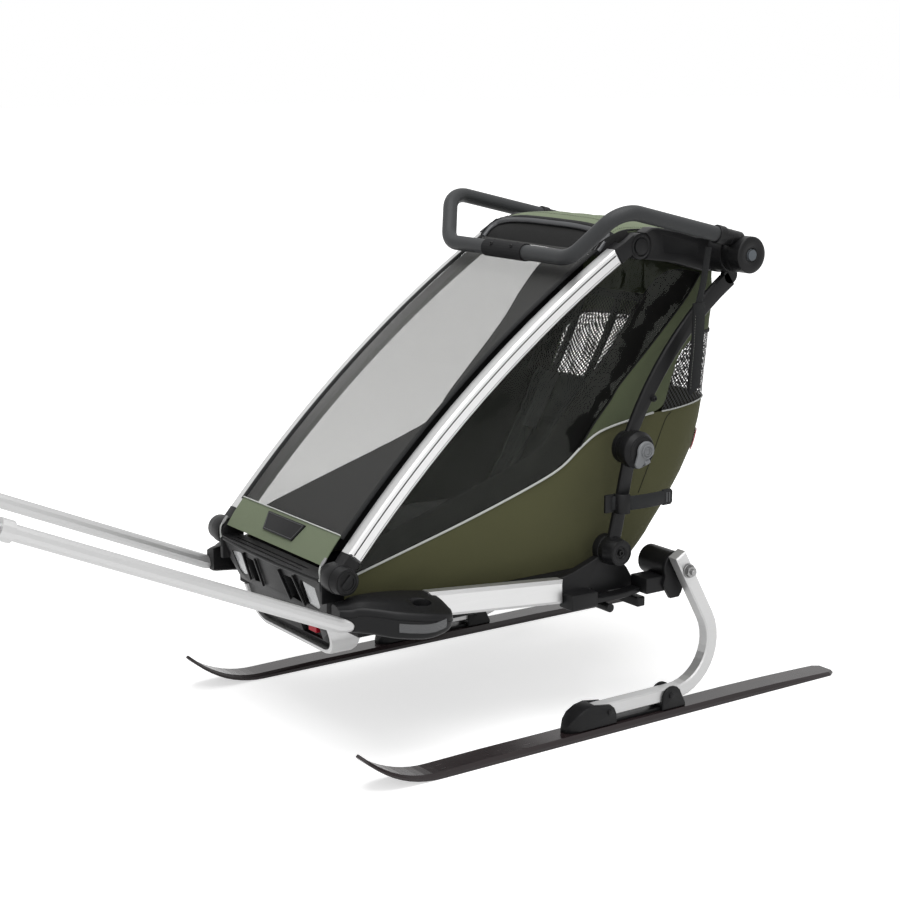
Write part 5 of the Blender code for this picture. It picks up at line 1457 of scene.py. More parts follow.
def soft_copy(name, node, look, below=None):
    """The solid's mesh in even cells, cut off above a plane and drawn in a little."""
    shape = bmesh.new()
    shape.from_mesh(NODES[node].data)
    bmesh.ops.remove_doubles(shape, verts=shape.verts, dist=1e-5)
    if below:
        everything = list(shape.verts) + list(shape.edges) + list(shape.faces)
        cut = bmesh.ops.bisect_plane(
            shape, geom=everything, plane_co=below[0], plane_no=below[1], clear_outer=True
        )
        rim = [edge for edge in cut["geom_cut"] if isinstance(edge, bmesh.types.BMEdge)]
        bmesh.ops.holes_fill(shape, edges=rim)
    bmesh.ops.recalc_face_normals(shape, faces=shape.faces)
    piece = place_mesh(name, bake_shape(shape, name, look))
    cells = piece.modifiers.new("even cells", "REMESH")
    cells.mode = "VOXEL"
    cells.voxel_size = PAD_CELL
    keep_result(piece)
    normals = [v.normal.copy() for v in piece.data.vertices]
    for vertex, normal in zip(piece.data.vertices, normals):
        vertex.co -= normal * PAD_SHRINK
    return piece


def blow_up(piece, cap):
    """A short cloth simulation under pressure, with every point kept near its start."""
    start = [v.co.copy() for v in piece.data.vertices]
    cloth = piece.modifiers.new("pressure", "CLOTH")
    cloth.settings.use_pressure = True
    cloth.settings.uniform_pressure_force = PAD_PRESSURE
    cloth.settings.tension_stiffness = 25
    cloth.settings.compression_stiffness = 15
    cloth.settings.bending_stiffness = 2
    cloth.settings.effector_weights.gravity = 0
    cloth.point_cache.frame_end = PAD_FRAMES
    for step in range(1, PAD_FRAMES + 1):
        bpy.context.scene.frame_set(step)
    keep_result(piece)
    bpy.context.scene.frame_set(1)
    for vertex, first in zip(piece.data.vertices, start):
        move = vertex.co - first
        if move.length > cap:
            vertex.co = first + move * (cap / move.length)
    finer = piece.modifiers.new("finer", "SUBSURF")
    finer.levels = finer.render_levels = 1
    keep_result(piece)
    for polygon in piece.data.polygons:
        polygon.use_smooth = True


def press_channel(piece, distance_to, depth, out):
    """A sewn channel: points near a line sink into the pad."""
    for vertex in piece.data.vertices:
        near = distance_to(vertex.co) / CHANNEL_WIDTH
        if near < 3:
            vertex.co -= out * depth * math.exp(-near * near)


def finish_pad(piece, node):
    """The pad rides on the chassis and stands for its solid, which is hidden."""
    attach(piece, "chassis")
    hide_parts(node)


print("pads are blown up in", PAD_FRAMES, "frames")

# %% Seat cushion
seat_pad = soft_copy("seat_pad", "seat_base", CLOTH["seat"])
blow_up(seat_pad, 0.006)
for channel_y in (-0.115, -0.020):
    press_channel(seat_pad, lambda p, c=channel_y: abs(p.y - MIDDLE - c), 0.004, UP)
finish_pad(seat_pad, "seat_base")
print("seat cushion has", len(seat_pad.data.vertices), "points")

# %% Back pad
SEAT_LEVEL = 0.336
BACK_FOOT, BACK_TOP = Vector((0, 0.076, 0.3366)), Vector((0, 0.262, 0.735))
BACK_UP = (BACK_TOP - BACK_FOOT).normalized()
BACK_FRONT = Vector((0, -BACK_UP.z, BACK_UP.y))
PAD_SHARE = 0.64
BACK_BOW = 0.018


def on_back(share, x, lift=0.0):
    """A point on the front of the seat back, which bows backward in the middle."""
    place = BACK_FOOT.lerp(BACK_TOP, share) - BACK_FRONT * BACK_BOW * 4 * share * (1 - share)
    place += BACK_FRONT * lift
    return at(x, place.y, place.z)


def fold_with_seat(piece):
    """What stands on the seat takes a mesh of its own, as the cabin's cloth does."""
    return fold_with_cabin(piece, SEAT_LEVEL)


back_pad = soft_copy("back_pad", "seat_back", CLOTH["seat"], (on_back(PAD_SHARE, 0), BACK_UP))
blow_up(back_pad, 0.007)
for channel_x in (-0.098, 0.098):
    press_channel(back_pad, lambda p, c=channel_x: abs(p.x - c), 0.004, BACK_FRONT)
for channel_share in (0.2, 0.42):
    height = on_back(channel_share, 0).z
    press_channel(back_pad, lambda p, h=height: abs(p.z - h), 0.003, BACK_FRONT)
finish_pad(back_pad, "seat_back")
fold_with_seat(back_pad)
print("back pad has", len(back_pad.data.vertices), "points")

# %% [markdown]
# Above the pad the back goes on as a net, so that air reaches the child. Its edges are bound in
# webbing, and the light that falls through the cabin's own vent shows through it.

# %% Net of the seat back


def back_half(share):
    """Half the width of the seat back, which narrows a little toward the top."""
    return 0.160 * (1.0 - 0.05 * share * share)


shares = [PAD_SHARE - 0.03 + (1.03 - PAD_SHARE) * j / 12 for j in range(13)]
net_grid = [[on_back(t, back_half(t) * 0.97 * u, 0.001) for u in side_to_side(16)] for t in shares]
seat_net = sheet_of("seat_net", net_grid, NET["seat"], "chassis")
declare_sheet(seat_net)
fold_with_seat(seat_net)
for side, s in SIDES:
    edge = [on_back(t, s * back_half(t) * 0.96, 0.002) for t in shares]
    binding = strap_section(0.018, 0.004)
    name = f"seat_net_binding_{side}"
    fold_with_seat(sweep(name, edge, binding, BACK_FRONT, CLOTH["webbing"], "chassis"))
top_edge = [on_back(1.0, back_half(1) * 0.97 * u, 0.002) for u in side_to_side(20)]
binding = strap_section(0.016, 0.004)
fold_with_seat(sweep("seat_net_top_binding", top_edge, binding, BACK_FRONT, CLOTH["webbing"], "chassis"))
print("seat net", round((1 - PAD_SHARE) * (BACK_TOP - BACK_FOOT).length, 3), "m tall")

# %% [markdown]
# ## Harness
# A child sits in a five-point harness: two padded shoulder straps, two lap straps and a crotch strap
# that meet in a buckle. Webbing is flat and keeps facing the child, so each strap is one flat section
# along its line.

# %% Harness
BUCKLE = (0.0, 0.022, 0.372)


def strap(name, line, width, thickness, facing, look=CLOTH["webbing"]):
    """Flat webbing along a smooth line."""
    section = strap_section(width, thickness)
    fold_with_seat(sweep(name, smooth(line, 24), section, facing, look, "chassis"))


for side, s in SIDES:
    shoulder = [
        on_back(0.98, s * 0.052, 0.006), on_back(0.85, s * 0.052, 0.010), on_back(0.64, s * 0.050, 0.024),
        on_back(0.40, s * 0.044, 0.034), on_back(0.2, s * 0.030, 0.045), at(s * 0.012, 0.030, 0.385),
    ]
    strap(f"shoulder_strap_{side}", shoulder, 0.020, 0.002, BACK_FRONT)
    pad = [on_back(0.60, s * 0.0485, 0.0275), on_back(0.48, s * 0.046, 0.034)]
    pad.append(on_back(0.34, s * 0.042, 0.040))
    strap(f"shoulder_pad_{side}", pad, 0.042, 0.009, BACK_FRONT, CLOTH["seat"])
    lap = [
        at(s * 0.132, 0.066, 0.3600), at(s * 0.100, 0.040, 0.3620), at(s * 0.060, 0.026, 0.3660),
        at(s * 0.014, 0.022, 0.372),
    ]
    strap(f"lap_strap_{side}", lap, 0.020, 0.002, (0, -0.4, 1))
crotch = [at(0, -0.060, 0.3520), at(0, -0.035, 0.3560), at(0, 0.0, 0.3640), at(0, 0.018, 0.372)]
strap("crotch_strap", crotch, 0.024, 0.0022, (0, -0.3, 1))
print("five straps and two shoulder pads")

# %% Buckle
BUCKLE_OUTLINE = [
    (-0.024, -0.020), (0.024, -0.020), (0.028, 0.0), (0.016, 0.024), (-0.016, 0.024), (-0.028, 0.0),
]
BUCKLE_BUTTON = [(0.0001, 0), (0.009, 0), (0.009, 0.0015), (0.0075, 0.0025), (0.0001, 0.0028)]
BUCKLE_UP, BUCKLE_OUT = Vector((0, 0.45, 0.89)), Vector((0, -0.89, 0.45))
shell = [at(*BUCKLE) + Vector((x, 0, 0)) + BUCKLE_UP * up for x, up in BUCKLE_OUTLINE]
fold_with_seat(
    moulded_plate("harness_buckle", shell, BUCKLE_OUT, 0.010, PLASTIC["black"], "chassis", 0.002)
)
button_place = at(*BUCKLE) + BUCKLE_OUT * 0.0098
fold_with_seat(
    turned("buckle_button", BUCKLE_BUTTON, button_place, BUCKLE_OUT, PLASTIC["red"], "chassis", 24)
)
print("harness meets at", BUCKLE)

# %% [markdown]
# ## Softer edges on the mouldings
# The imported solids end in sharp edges, while every moulding has a radius that catches the light. A
# moulding that shows can be copied, its flat triangles joined again, and its sharp edges beveled by
# under a millimetre. The copy then stands for the solid, at the same place and size.

# %% Round the edges of a solid
SHARP = 32
EDGE_WIDTH = 0.0008


def rounded_copy(node, width=EDGE_WIDTH):
    """The solid with its sharp edges rounded, as a piece that replaces it."""
    solid = NODES[node]
    shape = bmesh.new()
    shape.from_mesh(solid.data)
    bmesh.ops.remove_doubles(shape, verts=shape.verts, dist=2e-6)
    bmesh.ops.dissolve_limit(shape, angle_limit=math.radians(2), verts=shape.verts, edges=shape.edges)
    limit = math.radians(SHARP)
    edges = [e for e in shape.edges if len(e.link_faces) == 2 and e.calc_face_angle(0) > limit]
    bmesh.ops.bevel(
        shape,
        geom=edges,
        offset=width,
        offset_type="WIDTH",
        segments=2,
        profile=0.5,
        affect="EDGES",
        clamp_overlap=True,
    )
    bmesh.ops.recalc_face_normals(shape, faces=shape.faces)
    mesh = bake_shape(shape, f"{node}_moulding", solid.data.materials[0])
    shade(mesh, SHARP)
    piece = place_mesh(f"{node}_moulding", mesh, solid["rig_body"])
    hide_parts(node)
    return piece


ROUNDED_PAIRS = (
    "pillar_foot", "corner_joint", "top_arm", "upper_post", "lower_post", "elbow_cap", "elbow_lever",
    "hub_button", "rear_casting", "front_bracket", "rear_bracket", "axle_housing", "leaf_spring",
)
rounded_copy("rear_crossbar")
for part in ROUNDED_PAIRS:
    for side, s in SIDES:
        rounded_copy(f"{part}_{side}")
print(1 + 2 * len(ROUNDED_PAIRS), "mouldings rounded")

# %% [markdown]
# ## Side pods
# A pod closes each lower front corner: it holds the pull pole, ends the rail and serves as a step. It
# is one smooth moulding whose plan swells and tapers, with a soft shoulder along the top, a shallow
# line below it, an oval cup near the back and a reflector on its flank. It is lofted from sections
# whose width, top and foot follow smooth curves along the trailer.

# %% Pods
POD_RUN = [
    (-0.4760, 0.2350, 0.2945, 0.2530), (-0.4670, 0.2420, 0.2960, 0.2510),
    (-0.4560, 0.2488, 0.2975, 0.2500), (-0.4480, 0.2545, 0.3010, 0.2490), (-0.4300, 0.2690, 0.3030, 0.2470),
    (-0.3950, 0.2935, 0.3020, 0.2400), (-0.3500, 0.3085, 0.2975, 0.2350), (-0.3180, 0.3095, 0.2925, 0.2385),
    (-0.2990, 0.3025, 0.2893, 0.2435), (-0.2890, 0.2880, 0.2870, 0.2490),
]
POD_INNER = 0.2088
POD_TILT = 0.017


def pod_section(out, top, foot):
    """Points (x, z) round a pod, from its inner foot up, over the shoulder and down the flank."""
    wide = out - POD_INNER
    tilt = POD_TILT * min(1, wide / 0.1)
    ring = [(POD_INNER, foot + 0.003), (POD_INNER, (foot + top) / 2), (POD_INNER, top - 0.003)]
    ring.append((POD_INNER + 0.003, top))
    for k in range(7):
        u = (k + 1) / 8
        fall = tilt * (0.72 * u) ** 1.4
        ring.append((POD_INNER + wide * 0.72 * u, top - fall + 0.0016 * math.sin(math.pi * u * 0.9)))
    reach = min(0.010, wide * 0.2)
    top -= tilt
    for k in range(9):
        angle = math.pi / 2 * (1 - k / 8)
        high = top - reach * 1.1 + reach * 1.1 * math.sin(angle)
        ring.append((out - reach + reach * math.cos(angle), high))
    line = top - 0.0130
    ring += [(out + 0.0002, line + 0.0012), (out - 0.0008, line + 0.0006)]
    ring += [(out - 0.0008, line - 0.0006), (out + 0.0002, line - 0.0012)]
    low = foot + 0.012
    ring += [(out + 0.0003, (line + low) / 2), (out - 0.001, low)]
    for k in range(1, 7):
        angle = math.pi / 2 * k / 6
        ring.append((out - 0.013 + 0.012 * math.cos(angle), low - 0.012 * math.sin(angle)))
    ring.append((POD_INNER + 0.004, foot))
    return ring


def cut_with(piece, cutter):
    """Take a closed shape out of a piece, and the shape itself out of the scene."""
    change = piece.modifiers.new("cut", "BOOLEAN")
    change.object = cutter
    change.solver = "EXACT"
    change.operation = "DIFFERENCE"
    keep_result(piece)
    bpy.data.objects.remove(cutter)


pod_run = smooth([Vector(row) for row in POD_RUN], 44)
print("pods from y", POD_RUN[0][0], "to", POD_RUN[-1][0])

# %% [markdown]
# Three shapes are taken out of each lofted pod: the cup, the bore of the pull pole and the seat of the
# rail. They are closed shapes of their own, made with the same helpers, and the exact solver keeps the
# cuts clean.

# %% Cup, bore and rail seat
CUP = [
    (0.0001, -0.012), (0.0105, -0.012), (0.0130, -0.001), (0.0165, 0.0012), (0.0280, 0.0110),
    (0.0001, 0.0112),
]
CUP_Y, CUP_STRETCH = -0.335, 1.35
POLE_X, POLE_Z = 0.2347, 0.264
BORE_RADIUS = 0.0134
RAIL_BACK = -0.3003
RAIL_SEAT = [(0.2060, 0.2440), (0.2389, 0.2440), (0.2389, 0.2912), (0.2060, 0.2912)]
for side, s in SIDES:
    rings = [[at(s * x, y, z) for x, z in pod_section(out, top, foot)] for y, out, top, foot in pod_run]
    pod = loft(f"pod_moulding_{side}", rings, PLASTIC["black"], None, 32)
    cup = turned("cup", CUP, at(s * 0.266, CUP_Y, 0.2880), (s * 0.2, 0, 1), PLASTIC["black"], None, 40)
    cup_middle = at(0, CUP_Y, 0).y
    for vertex in cup.data.vertices:
        vertex.co.y = cup_middle + (vertex.co.y - cup_middle) * CUP_STRETCH
    cut_with(pod, cup)
    bore_line = [at(s * POLE_X, y, POLE_Z) for y in (-0.495, -0.340)]
    cut_with(pod, sweep("bore", bore_line, circle(BORE_RADIUS, 32), UP, PLASTIC["black"], None))
    seat = [at(s * x, RAIL_BACK, z) for x, z in RAIL_SEAT]
    cut_with(pod, moulded_plate("rail_seat", seat, (0, 1, 0), 0.03, PLASTIC["black"], "chassis", 0))
    shade(pod.data, 34)
    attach(pod, "chassis")
    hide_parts(f"side_pod_{side}")
print("a bore of", BORE_RADIUS, "m takes the pole")

# %% Reflectors on the pods
flank = [row for row in pod_run if -0.402 < row[0] < -0.312]
for side, s in SIDES:
    low_edge = [at(s * (out + 0.0002), y, foot + 0.0125) for y, out, top, foot in flank]
    high_edge = [at(s * (out + 0.0004), y, foot + 0.0290) for y, out, top, foot in flank]
    middle_row = [(a + b) / 2 + Vector((s * 0.0003, 0, 0)) for a, b in zip(low_edge, high_edge)]
    grid = [low_edge, middle_row, high_edge]
    name = f"pod_reflector_{side}"
    sheet_of(name, grid, REFLECTOR["clear"], "chassis", 0.0016, lambda p: Vector((-s, 0, 0)))
    rim = low_edge + high_edge[::-1]
    rim = evenly(rim + rim[:1], 61)[:-1]
    name = f"pod_reflector_rim_{side}"
    sweep(name, rim, circle(0.0006, 6), (s, 0, 0), PLASTIC["black"], "chassis", closed=True)
print("reflectors", len(flank), "steps long")

# %% [markdown]
# ## Front member
# Between the pods a moulded member closes the nose. Its face is a row of slanted openings with deep
# ribs between them, and clear reflectors sit behind the two outer ones. The solid holds the outline;
# here its edges are rounded and the ribs and reflectors are set into it.

# %% Ribs and reflectors of the front member
member = rounded_copy("front_cradle", 0.0010)


NOSE_FOOT, NOSE_LEAN = 0.170, 0.330


def on_nose(x, z, out=0.0):
    """A point on the leaning face of the front member."""
    rise = z - NOSE_FOOT
    bow = 0.008 * (1 - (x / 0.17) ** 2) * rise / 0.160
    return at(x, -0.424 - NOSE_LEAN * rise - bow - out, z)


NOSE_OUT = Vector((0, -0.95, -0.313))
RIBS = ((0.046, 0.040), (0.094, 0.086))
RIB_WIDTH, RIB_LOW, RIB_HIGH = 0.004, 0.262, 0.316
WINDOW = [(0.106, 0.264), (0.128, 0.260), (0.146, 0.270), (0.151, 0.302), (0.136, 0.312), (0.108, 0.310)]
for side, s in SIDES:
    for k, (low_x, high_x) in enumerate(RIBS):
        corners = [(low_x, RIB_LOW), (low_x + RIB_WIDTH, RIB_LOW)]
        corners += [(high_x + RIB_WIDTH, RIB_HIGH), (high_x, RIB_HIGH)]
        blade = [on_nose(s * x, z, 0.0005) for x, z in corners]
        moulded_plate(f"nose_rib_{side}_{k}", blade, NOSE_OUT, 0.0045, PLASTIC["black"], "chassis")
    lens = [on_nose(s * x, z, -0.006) for x, z in WINDOW]
    moulded_plate(f"nose_reflector_{side}", lens, NOSE_OUT, 0.004, REFLECTOR["white"], "chassis", 0.001)
lip = [on_nose(0.168 * u, 0.3235, 0.001) for u in side_to_side(30)]
sweep("nose_lip", lip, strap_section(0.006, 0.004), NOSE_OUT, PLASTIC["black"], "chassis")
print("front member ribbed")

# %% [markdown]
# ## Roof bow
# The roof's front edge is carried by a wide moulded bow: a raised rim runs round a sunken panel, and
# the rim's ends turn down into the corner joints. The rim is a rounded section on a smooth line, and
# the sunken panel is a sheet inside it.

# %% Bow
BOW_OUT = Vector((0, -0.58, 0.81))
BOW_HALF = 0.1755


def bow_point(u, v, lift=0.0):
    """A point on the bow's face: u across from -1 to 1, v from its lower edge to the roof."""
    low = Vector((0.101, 0.8335 + 0.004 * (1 - u**4)))
    high = Vector((0.137, 0.8590 + 0.0165 * (1 - u**4)))
    middle = low.lerp(high, v) + BOW_OUT.yz * (0.004 * math.sin(math.pi * v) + lift)
    return at(BOW_HALF * u, middle.x, middle.y)


panel = [[bow_point(u, j / 10, -0.003) for u in side_to_side(30)] for j in range(11)]
bow_panel = sheet_of("bow_panel", panel, CLOTH["black_cloth_and_shade"], "front_frame", 0.002, lambda p: -BOW_OUT)
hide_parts("roof_bow")
RIM_END, RIM_LIFT = -0.985, 0.001
rim_line = [bow_point(RIM_END, 0.06, RIM_LIFT)]
for angle in (0.0, 0.5, 1.0, 1.4):
    u = RIM_END + 0.10 * (1 - math.cos(angle))
    rim_line.append(bow_point(u, 0.92 - 0.5 * (1 - math.sin(angle)), RIM_LIFT))
rim_line += [bow_point(u, 0.93, RIM_LIFT) for u in (-0.7, -0.4, 0, 0.4, 0.7)]
rim_line += [Vector((-p.x, p.y, p.z)) for p in rim_line[:5][::-1]]
sweep("bow_rim", smooth(rim_line, 90), strap_section(0.015, 0.008), BOW_OUT, PLASTIC["bow"], "front_frame")
GUSSET = [
    [(0.1745, 0.094, 0.829), (0.1800, 0.108, 0.836), (0.1835, 0.130, 0.846), (0.1850, 0.160, 0.858)],
    [(0.1750, 0.098, 0.842), (0.1800, 0.113, 0.850), (0.1835, 0.134, 0.858), (0.1850, 0.162, 0.866)],
    [(0.1740, 0.107, 0.852), (0.1775, 0.122, 0.861), (0.1790, 0.141, 0.868), (0.1790, 0.166, 0.873)],
]
for side, s in SIDES:
    grid = [[at(s * x, y, z) for x, y, z in row] for row in GUSSET]
    name = f"bow_gusset_{side}"
    sheet_of(name, grid, CLOTH["black_cloth_and_shade"], "front_frame", 0.0012, lambda p: Vector((-s, 0, 0)))
print("bow", round(2 * BOW_HALF, 3), "m wide")

# %% [markdown]
# ## Push bar
# The push bar is a coated tube bent to a flattened loop, and it ends in two housings that hold its
# detent. The solid is drawn with few facets, so here the tube is swept again as a finer circle along
# the same line, with collars and housings turned from profiles. A turned ring leaves the housing open
# for its release button.

# %% Push bar
BAR_CORNERS = [
    (0.2585, 0.3630, 0.8494), (0.2585, 0.0860, 0.9170), (0.1860, 0.0310, 0.8290),
    (-0.1860, 0.0310, 0.8290), (-0.2585, 0.0860, 0.9170), (-0.2585, 0.3630, 0.8494),
]
BAR_BEND, BAR_RADIUS = 0.052, 0.014


def bent(corners, radius, steps):
    """A line with its corners rounded."""
    points = [Vector(corners[0])]
    for before, here, after in zip(corners, corners[1:], corners[2:]):
        before, here, after = Vector(before), Vector(here), Vector(after)
        back, on = (before - here).normalized(), (after - here).normalized()
        half = back.angle(on) / 2
        reach = radius / math.tan(half)
        start, end = here + back * reach, here + on * reach
        centre = here + (back + on).normalized() * (radius / math.sin(half))
        for k in range(steps + 1):
            way = (start - centre).lerp(end - centre, k / steps)
            points.append(centre + way.normalized() * radius)
    return points + [Vector(corners[-1])]


bar_line = [at(*p) for p in bent(BAR_CORNERS, BAR_BEND, 14)]
bar = sweep("push_bar_tube", bar_line, circle(BAR_RADIUS, 32), (0, 0.45, 0.89), PLASTIC["bar"], "push_bar")
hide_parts("handlebar")
print("push bar line", round(sum((b - a).length for a, b in zip(bar_line, bar_line[1:])), 3), "m")

# %% Housings, collars and sleeves of the bar
HOUSING = [
    (0.0001, 0), (0.0320, 0), (0.0332, 0.0012), (0.0335, 0.0030), (0.0335, 0.0270), (0.0326, 0.0276),
    (0.0326, 0.0284), (0.0335, 0.0290), (0.0335, 0.0780), (0.0322, 0.0812), (0.0292, 0.0832),
    (0.0250, 0.0838), (0.0185, 0.0838), (0.0172, 0.0828), (0.0160, 0.0818), (0.0129, 0.0818),
    (0.0129, 0.0745), (0.0001, 0.0745),
]
COLLAR = [(0.0001, 0), (0.0160, 0), (0.0171, 0.0014), (0.0171, 0.0166), (0.0160, 0.018), (0.0001, 0.018)]
SLEEVE = [
    (0.0001, 0), (0.0143, 0), (0.0150, 0.0008), (0.0150, 0.0120), (0.0145, 0.0124), (0.0145, 0.0136),
    (0.0150, 0.0140), (0.0150, 0.0280), (0.0145, 0.0284), (0.0145, 0.0296), (0.0150, 0.0300),
    (0.0150, 0.0402), (0.0143, 0.0410), (0.0001, 0.042),
]
housing_depth = HOUSING[10][1]
inner_side, outer_side = 0.2436, 0.2900
housing = [(r, h / housing_depth * (outer_side - inner_side)) for r, h in HOUSING]
along = (bar_line[1] - bar_line[0]).normalized()
way = Vector((0, along.y, along.z))
for side, s in SIDES:
    hub = at(s * inner_side, *HUB)
    turned(f"bar_housing_{side}", housing, hub, (s, 0, 0), PLASTIC["black"], "push_bar", 64)
    x, y, z = BAR_CORNERS[0]
    start = at(s * x, y, z)
    turned(f"bar_collar_{side}", COLLAR, start + way * SLEEVE[-1][1], way, PLASTIC["black"], "push_bar", 48)
    turned(f"bar_sleeve_{side}", SLEEVE, start, way, PLASTIC["post"], "push_bar", 48)
print("housings", round(outer_side - inner_side, 4), "m deep")

# %% [markdown]
# ## Wrist strap
# A strap is looped round the push bar on one side and hangs beside the cabin. Its upper run is single
# webbing and the lower one is doubled into a flat loop. It swings free on the real trailer; here it
# rides on the push bar.

# %% Wrist strap
STRAP_X = 0.2620
strap_parts = []
hang = [(0.2860, 0.8410), (0.2820, 0.8150), (0.2740, 0.7700), (0.2655, 0.7410)]
wide = [
    (0.2650, 0.7420), (0.2660, 0.7200), (0.2640, 0.6600), (0.2600, 0.6100), (0.2590, 0.5860),
    (0.2610, 0.5830),
]
parts = [
    ("strap_hanging", [at(STRAP_X, y, z) for y, z in hang], 0.015, 0.0018),
    ("strap_loop_front", [at(STRAP_X + 0.0022, y, z) for y, z in wide], 0.028, 0.0018),
    ("strap_loop_back", [at(STRAP_X - 0.0010, y + 0.001, z + 0.001) for y, z in wide], 0.028, 0.0018),
]
for name, line, width, thickness in parts:
    section = strap_section(width, thickness)
    strap_parts.append(sweep(name, smooth(line, 36), section, (1, 0, 0), CLOTH["webbing"], "push_bar"))
seam_line = [at(STRAP_X + 0.0034, y - 0.0095, z) for y, z in wide[1:-1]]
strap_parts.append(stitches("strap_stitches", smooth(seam_line, 30), (1, 0, 0), CLOTH["pull"], "push_bar"))
for piece in strap_parts:
    at(STRAP_X, 0.285, 0.850)
    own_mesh(piece)
print("strap hangs to z", wide[-1][1])

# %% [markdown]
# ## Zip pulls
# A cord pull hangs from each zip at the front corners: a metal slider, a short cord and its knot.

# %% Zip pulls
SLIDER = [
    (-0.0030, -0.008), (0.0030, -0.008), (0.0042, 0.002), (0.0026, 0.009), (-0.0026, 0.009),
    (-0.0042, 0.002),
]
CORD_FALL = [(0, 0, 0), (0.001, -0.003, -0.008), (0.002, -0.003, -0.018), (0.001, -0.002, -0.027)]
AHEAD = (0, -1, 0)
for side, s in SIDES:
    head = on_foot(s * 0.1735, 0.006, 0.006)
    down = Vector((0, -FOOT_UP.x, -FOOT_UP.y))
    sideways = Vector((1, 0, 0))
    slider = [head + sideways * x + down * d for x, d in SLIDER]
    moulded_plate(f"zip_slider_{side}", slider, FOOT_NORMAL, 0.0028, METAL["steel"], "front_frame", 0.0006)
    tail = head + down * 0.008 + FOOT_NORMAL * 0.003
    fall = [tail + Vector((s * x, y, z)) for x, y, z in CORD_FALL]
    for k, gap in enumerate((-0.0011, 0.0011)):
        cord = smooth([p + sideways * gap for p in fall], 14)
        sweep(f"zip_cord_{side}_{k}", cord, circle(0.0009, 8), AHEAD, CLOTH["piping"], "front_frame")
    end = fall[-1]
    tab_line = [end + Vector((0, 0.0002 * k, 0.002 - 0.0046 * k)) for k in range(5)]
    tab_section = strap_section(0.0062, 0.0030)
    sweep(f"zip_tab_{side}", tab_line, tab_section, AHEAD, RUBBER["strap"], "front_frame")
    knot_line = [end + Vector((0, 0, rise)) for rise in (0.004, 0.0005)]
    knot_section = strap_section(0.0056, 0.0042)
    sweep(f"zip_knot_{side}", knot_line, knot_section, AHEAD, CLOTH["piping"], "front_frame")
print("zip pulls hung")

# %% [markdown]
# ## Screws, plugs and plates
# The mouldings are held by socket screws. Each one is turned from a profile, and a ring of the profile
# with six corners makes its socket. The top pivots carry a domed plug, the elbow levers have two raised
# rings, and the straps of the lower posts end in a slotted tab.

# %% Fittings
SCREW = [(0.0001, 0), (1.0, 0), (1.0, 0.5), (0.85, 0.75), (0.52, 0.75, 6), (0.5, 0.2, 6), (0.0001, 0.2)]


def screw(name, place, axis, radius, body):
    """A dark socket screw whose head has a given radius."""
    profile = [(r * radius, h * radius, *rest) for r, h, *rest in SCREW]
    return turned(name, profile, place, axis, PLASTIC["post"], body, 36)


def turned_ring(name, profile, centre, axis, look, body, count=40):
    """A closed profile turned into a ring with an open middle."""
    axis = Vector(axis).normalized()
    side = axis.orthogonal().normalized()
    other = axis.cross(side)
    rings = []
    for i in range(count):
        angle = 2 * math.pi * i / count
        way = side * math.cos(angle) + other * math.sin(angle)
        rings.append([Vector(centre) + way * r + axis * h for r, h in profile])
    return loft(name, rings, look, body, 40, closed=True)


def ring(name, place, s, size, look, body):
    """A raised ring on one side's outer face, of a size (radius, width, height)."""
    radius, wide, tall = size
    profile = [
        (radius - wide, 0), (radius, 0), (radius, tall * 0.6), (radius - wide * 0.35, tall),
        (radius - wide * 0.65, tall), (radius - wide, tall * 0.6),
    ]
    return turned_ring(name, profile, place, (s, 0, 0), look, body)


def outer_face(node, s):
    """How far out, in X, a part of one side reaches."""
    low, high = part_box(node)
    return high.x if s > 0 else low.x


PLUG = [
    (0.0001, -0.002), (0.0128, -0.002), (0.0128, 0.0), (0.0118, 0.0018), (0.0090, 0.0030),
    (0.0001, 0.0034),
]
POST_END = [
    (0.0001, 0), (0.0158, 0), (0.0168, 0.0012), (0.0168, 0.0101), (0.0158, 0.0113), (0.0001, 0.0113),
]
LEVER_MIDDLE = (0.1450, 0.4852)
black, dark, grey = PLASTIC["black"], PLASTIC["post"], PLASTIC["lever"]
for side, s in SIDES:
    out, arm_face = (s, 0, 0), s * 0.2077
    ring(f"pivot_ring_{side}", at(arm_face, *TOP_PIVOT), s, (0.0205, 0.0040, 0.0022), black, "roof_frame")
    turned(f"pivot_plug_{side}", PLUG, at(arm_face + s * 0.0002, *TOP_PIVOT), out, black, "roof_frame", 40)
    lever = at(outer_face(f"elbow_lever_{side}", s), *LEVER_MIDDLE)
    ring(f"lever_ring_{side}", lever, s, (0.0125, 0.0022, 0.0010), grey, f"release_{side}")
    ring(f"lever_inner_ring_{side}", lever, s, (0.0075, 0.0014, 0.0008), grey, f"release_{side}")
    button = at(outer_face(f"hub_button_{side}", s) - s * 0.0012, *HUB)
    ring(f"button_ring_{side}", button, s, (0.0114, 0.0016, 0.0016), dark, f"bar_button_{side}")
    screw(f"post_bolt_{side}", at(s * 0.2292, 0.1955, 0.570), out, 0.0042, "roof_frame")
    turned(f"post_end_{side}", POST_END, at(s * 0.2140, 0.3775, 0.7815), out, dark, "roof_frame", 40)
print("fittings set")

# %% Painted shade lines along the pillars
# Two thin strips, a black one and a grey one, paint the shade of the grooves along each pillar's side as
# dark lines.
GROOVE_SHADE_STRIPS = (("groove_shade", 0.0050, 0.0016, PLASTIC["post"]), ("line", -0.0095, 0.0009, PLASTIC["bow"]))
for side, s in SIDES:
    for name, lift, width, look in GROOVE_SHADE_STRIPS:
        line = [at(s * 0.2071, y, z) for y, z in pillar_arc(0.055, 0.925, 60, lift)]
        sweep(f"pillar_{name}_{side}", line, strap_section(width, 0.0005), (s, 0, 0), look, "front_frame")
print("two lines along each pillar")

# %% [markdown]
# The rubber strap of each lower post runs over a clip and ends in a tab with two finger slots. The
# axle's nut and washer are bare steel, and thin rings mark the parts of the elbow, the rear pivot and
# the frame's foot.

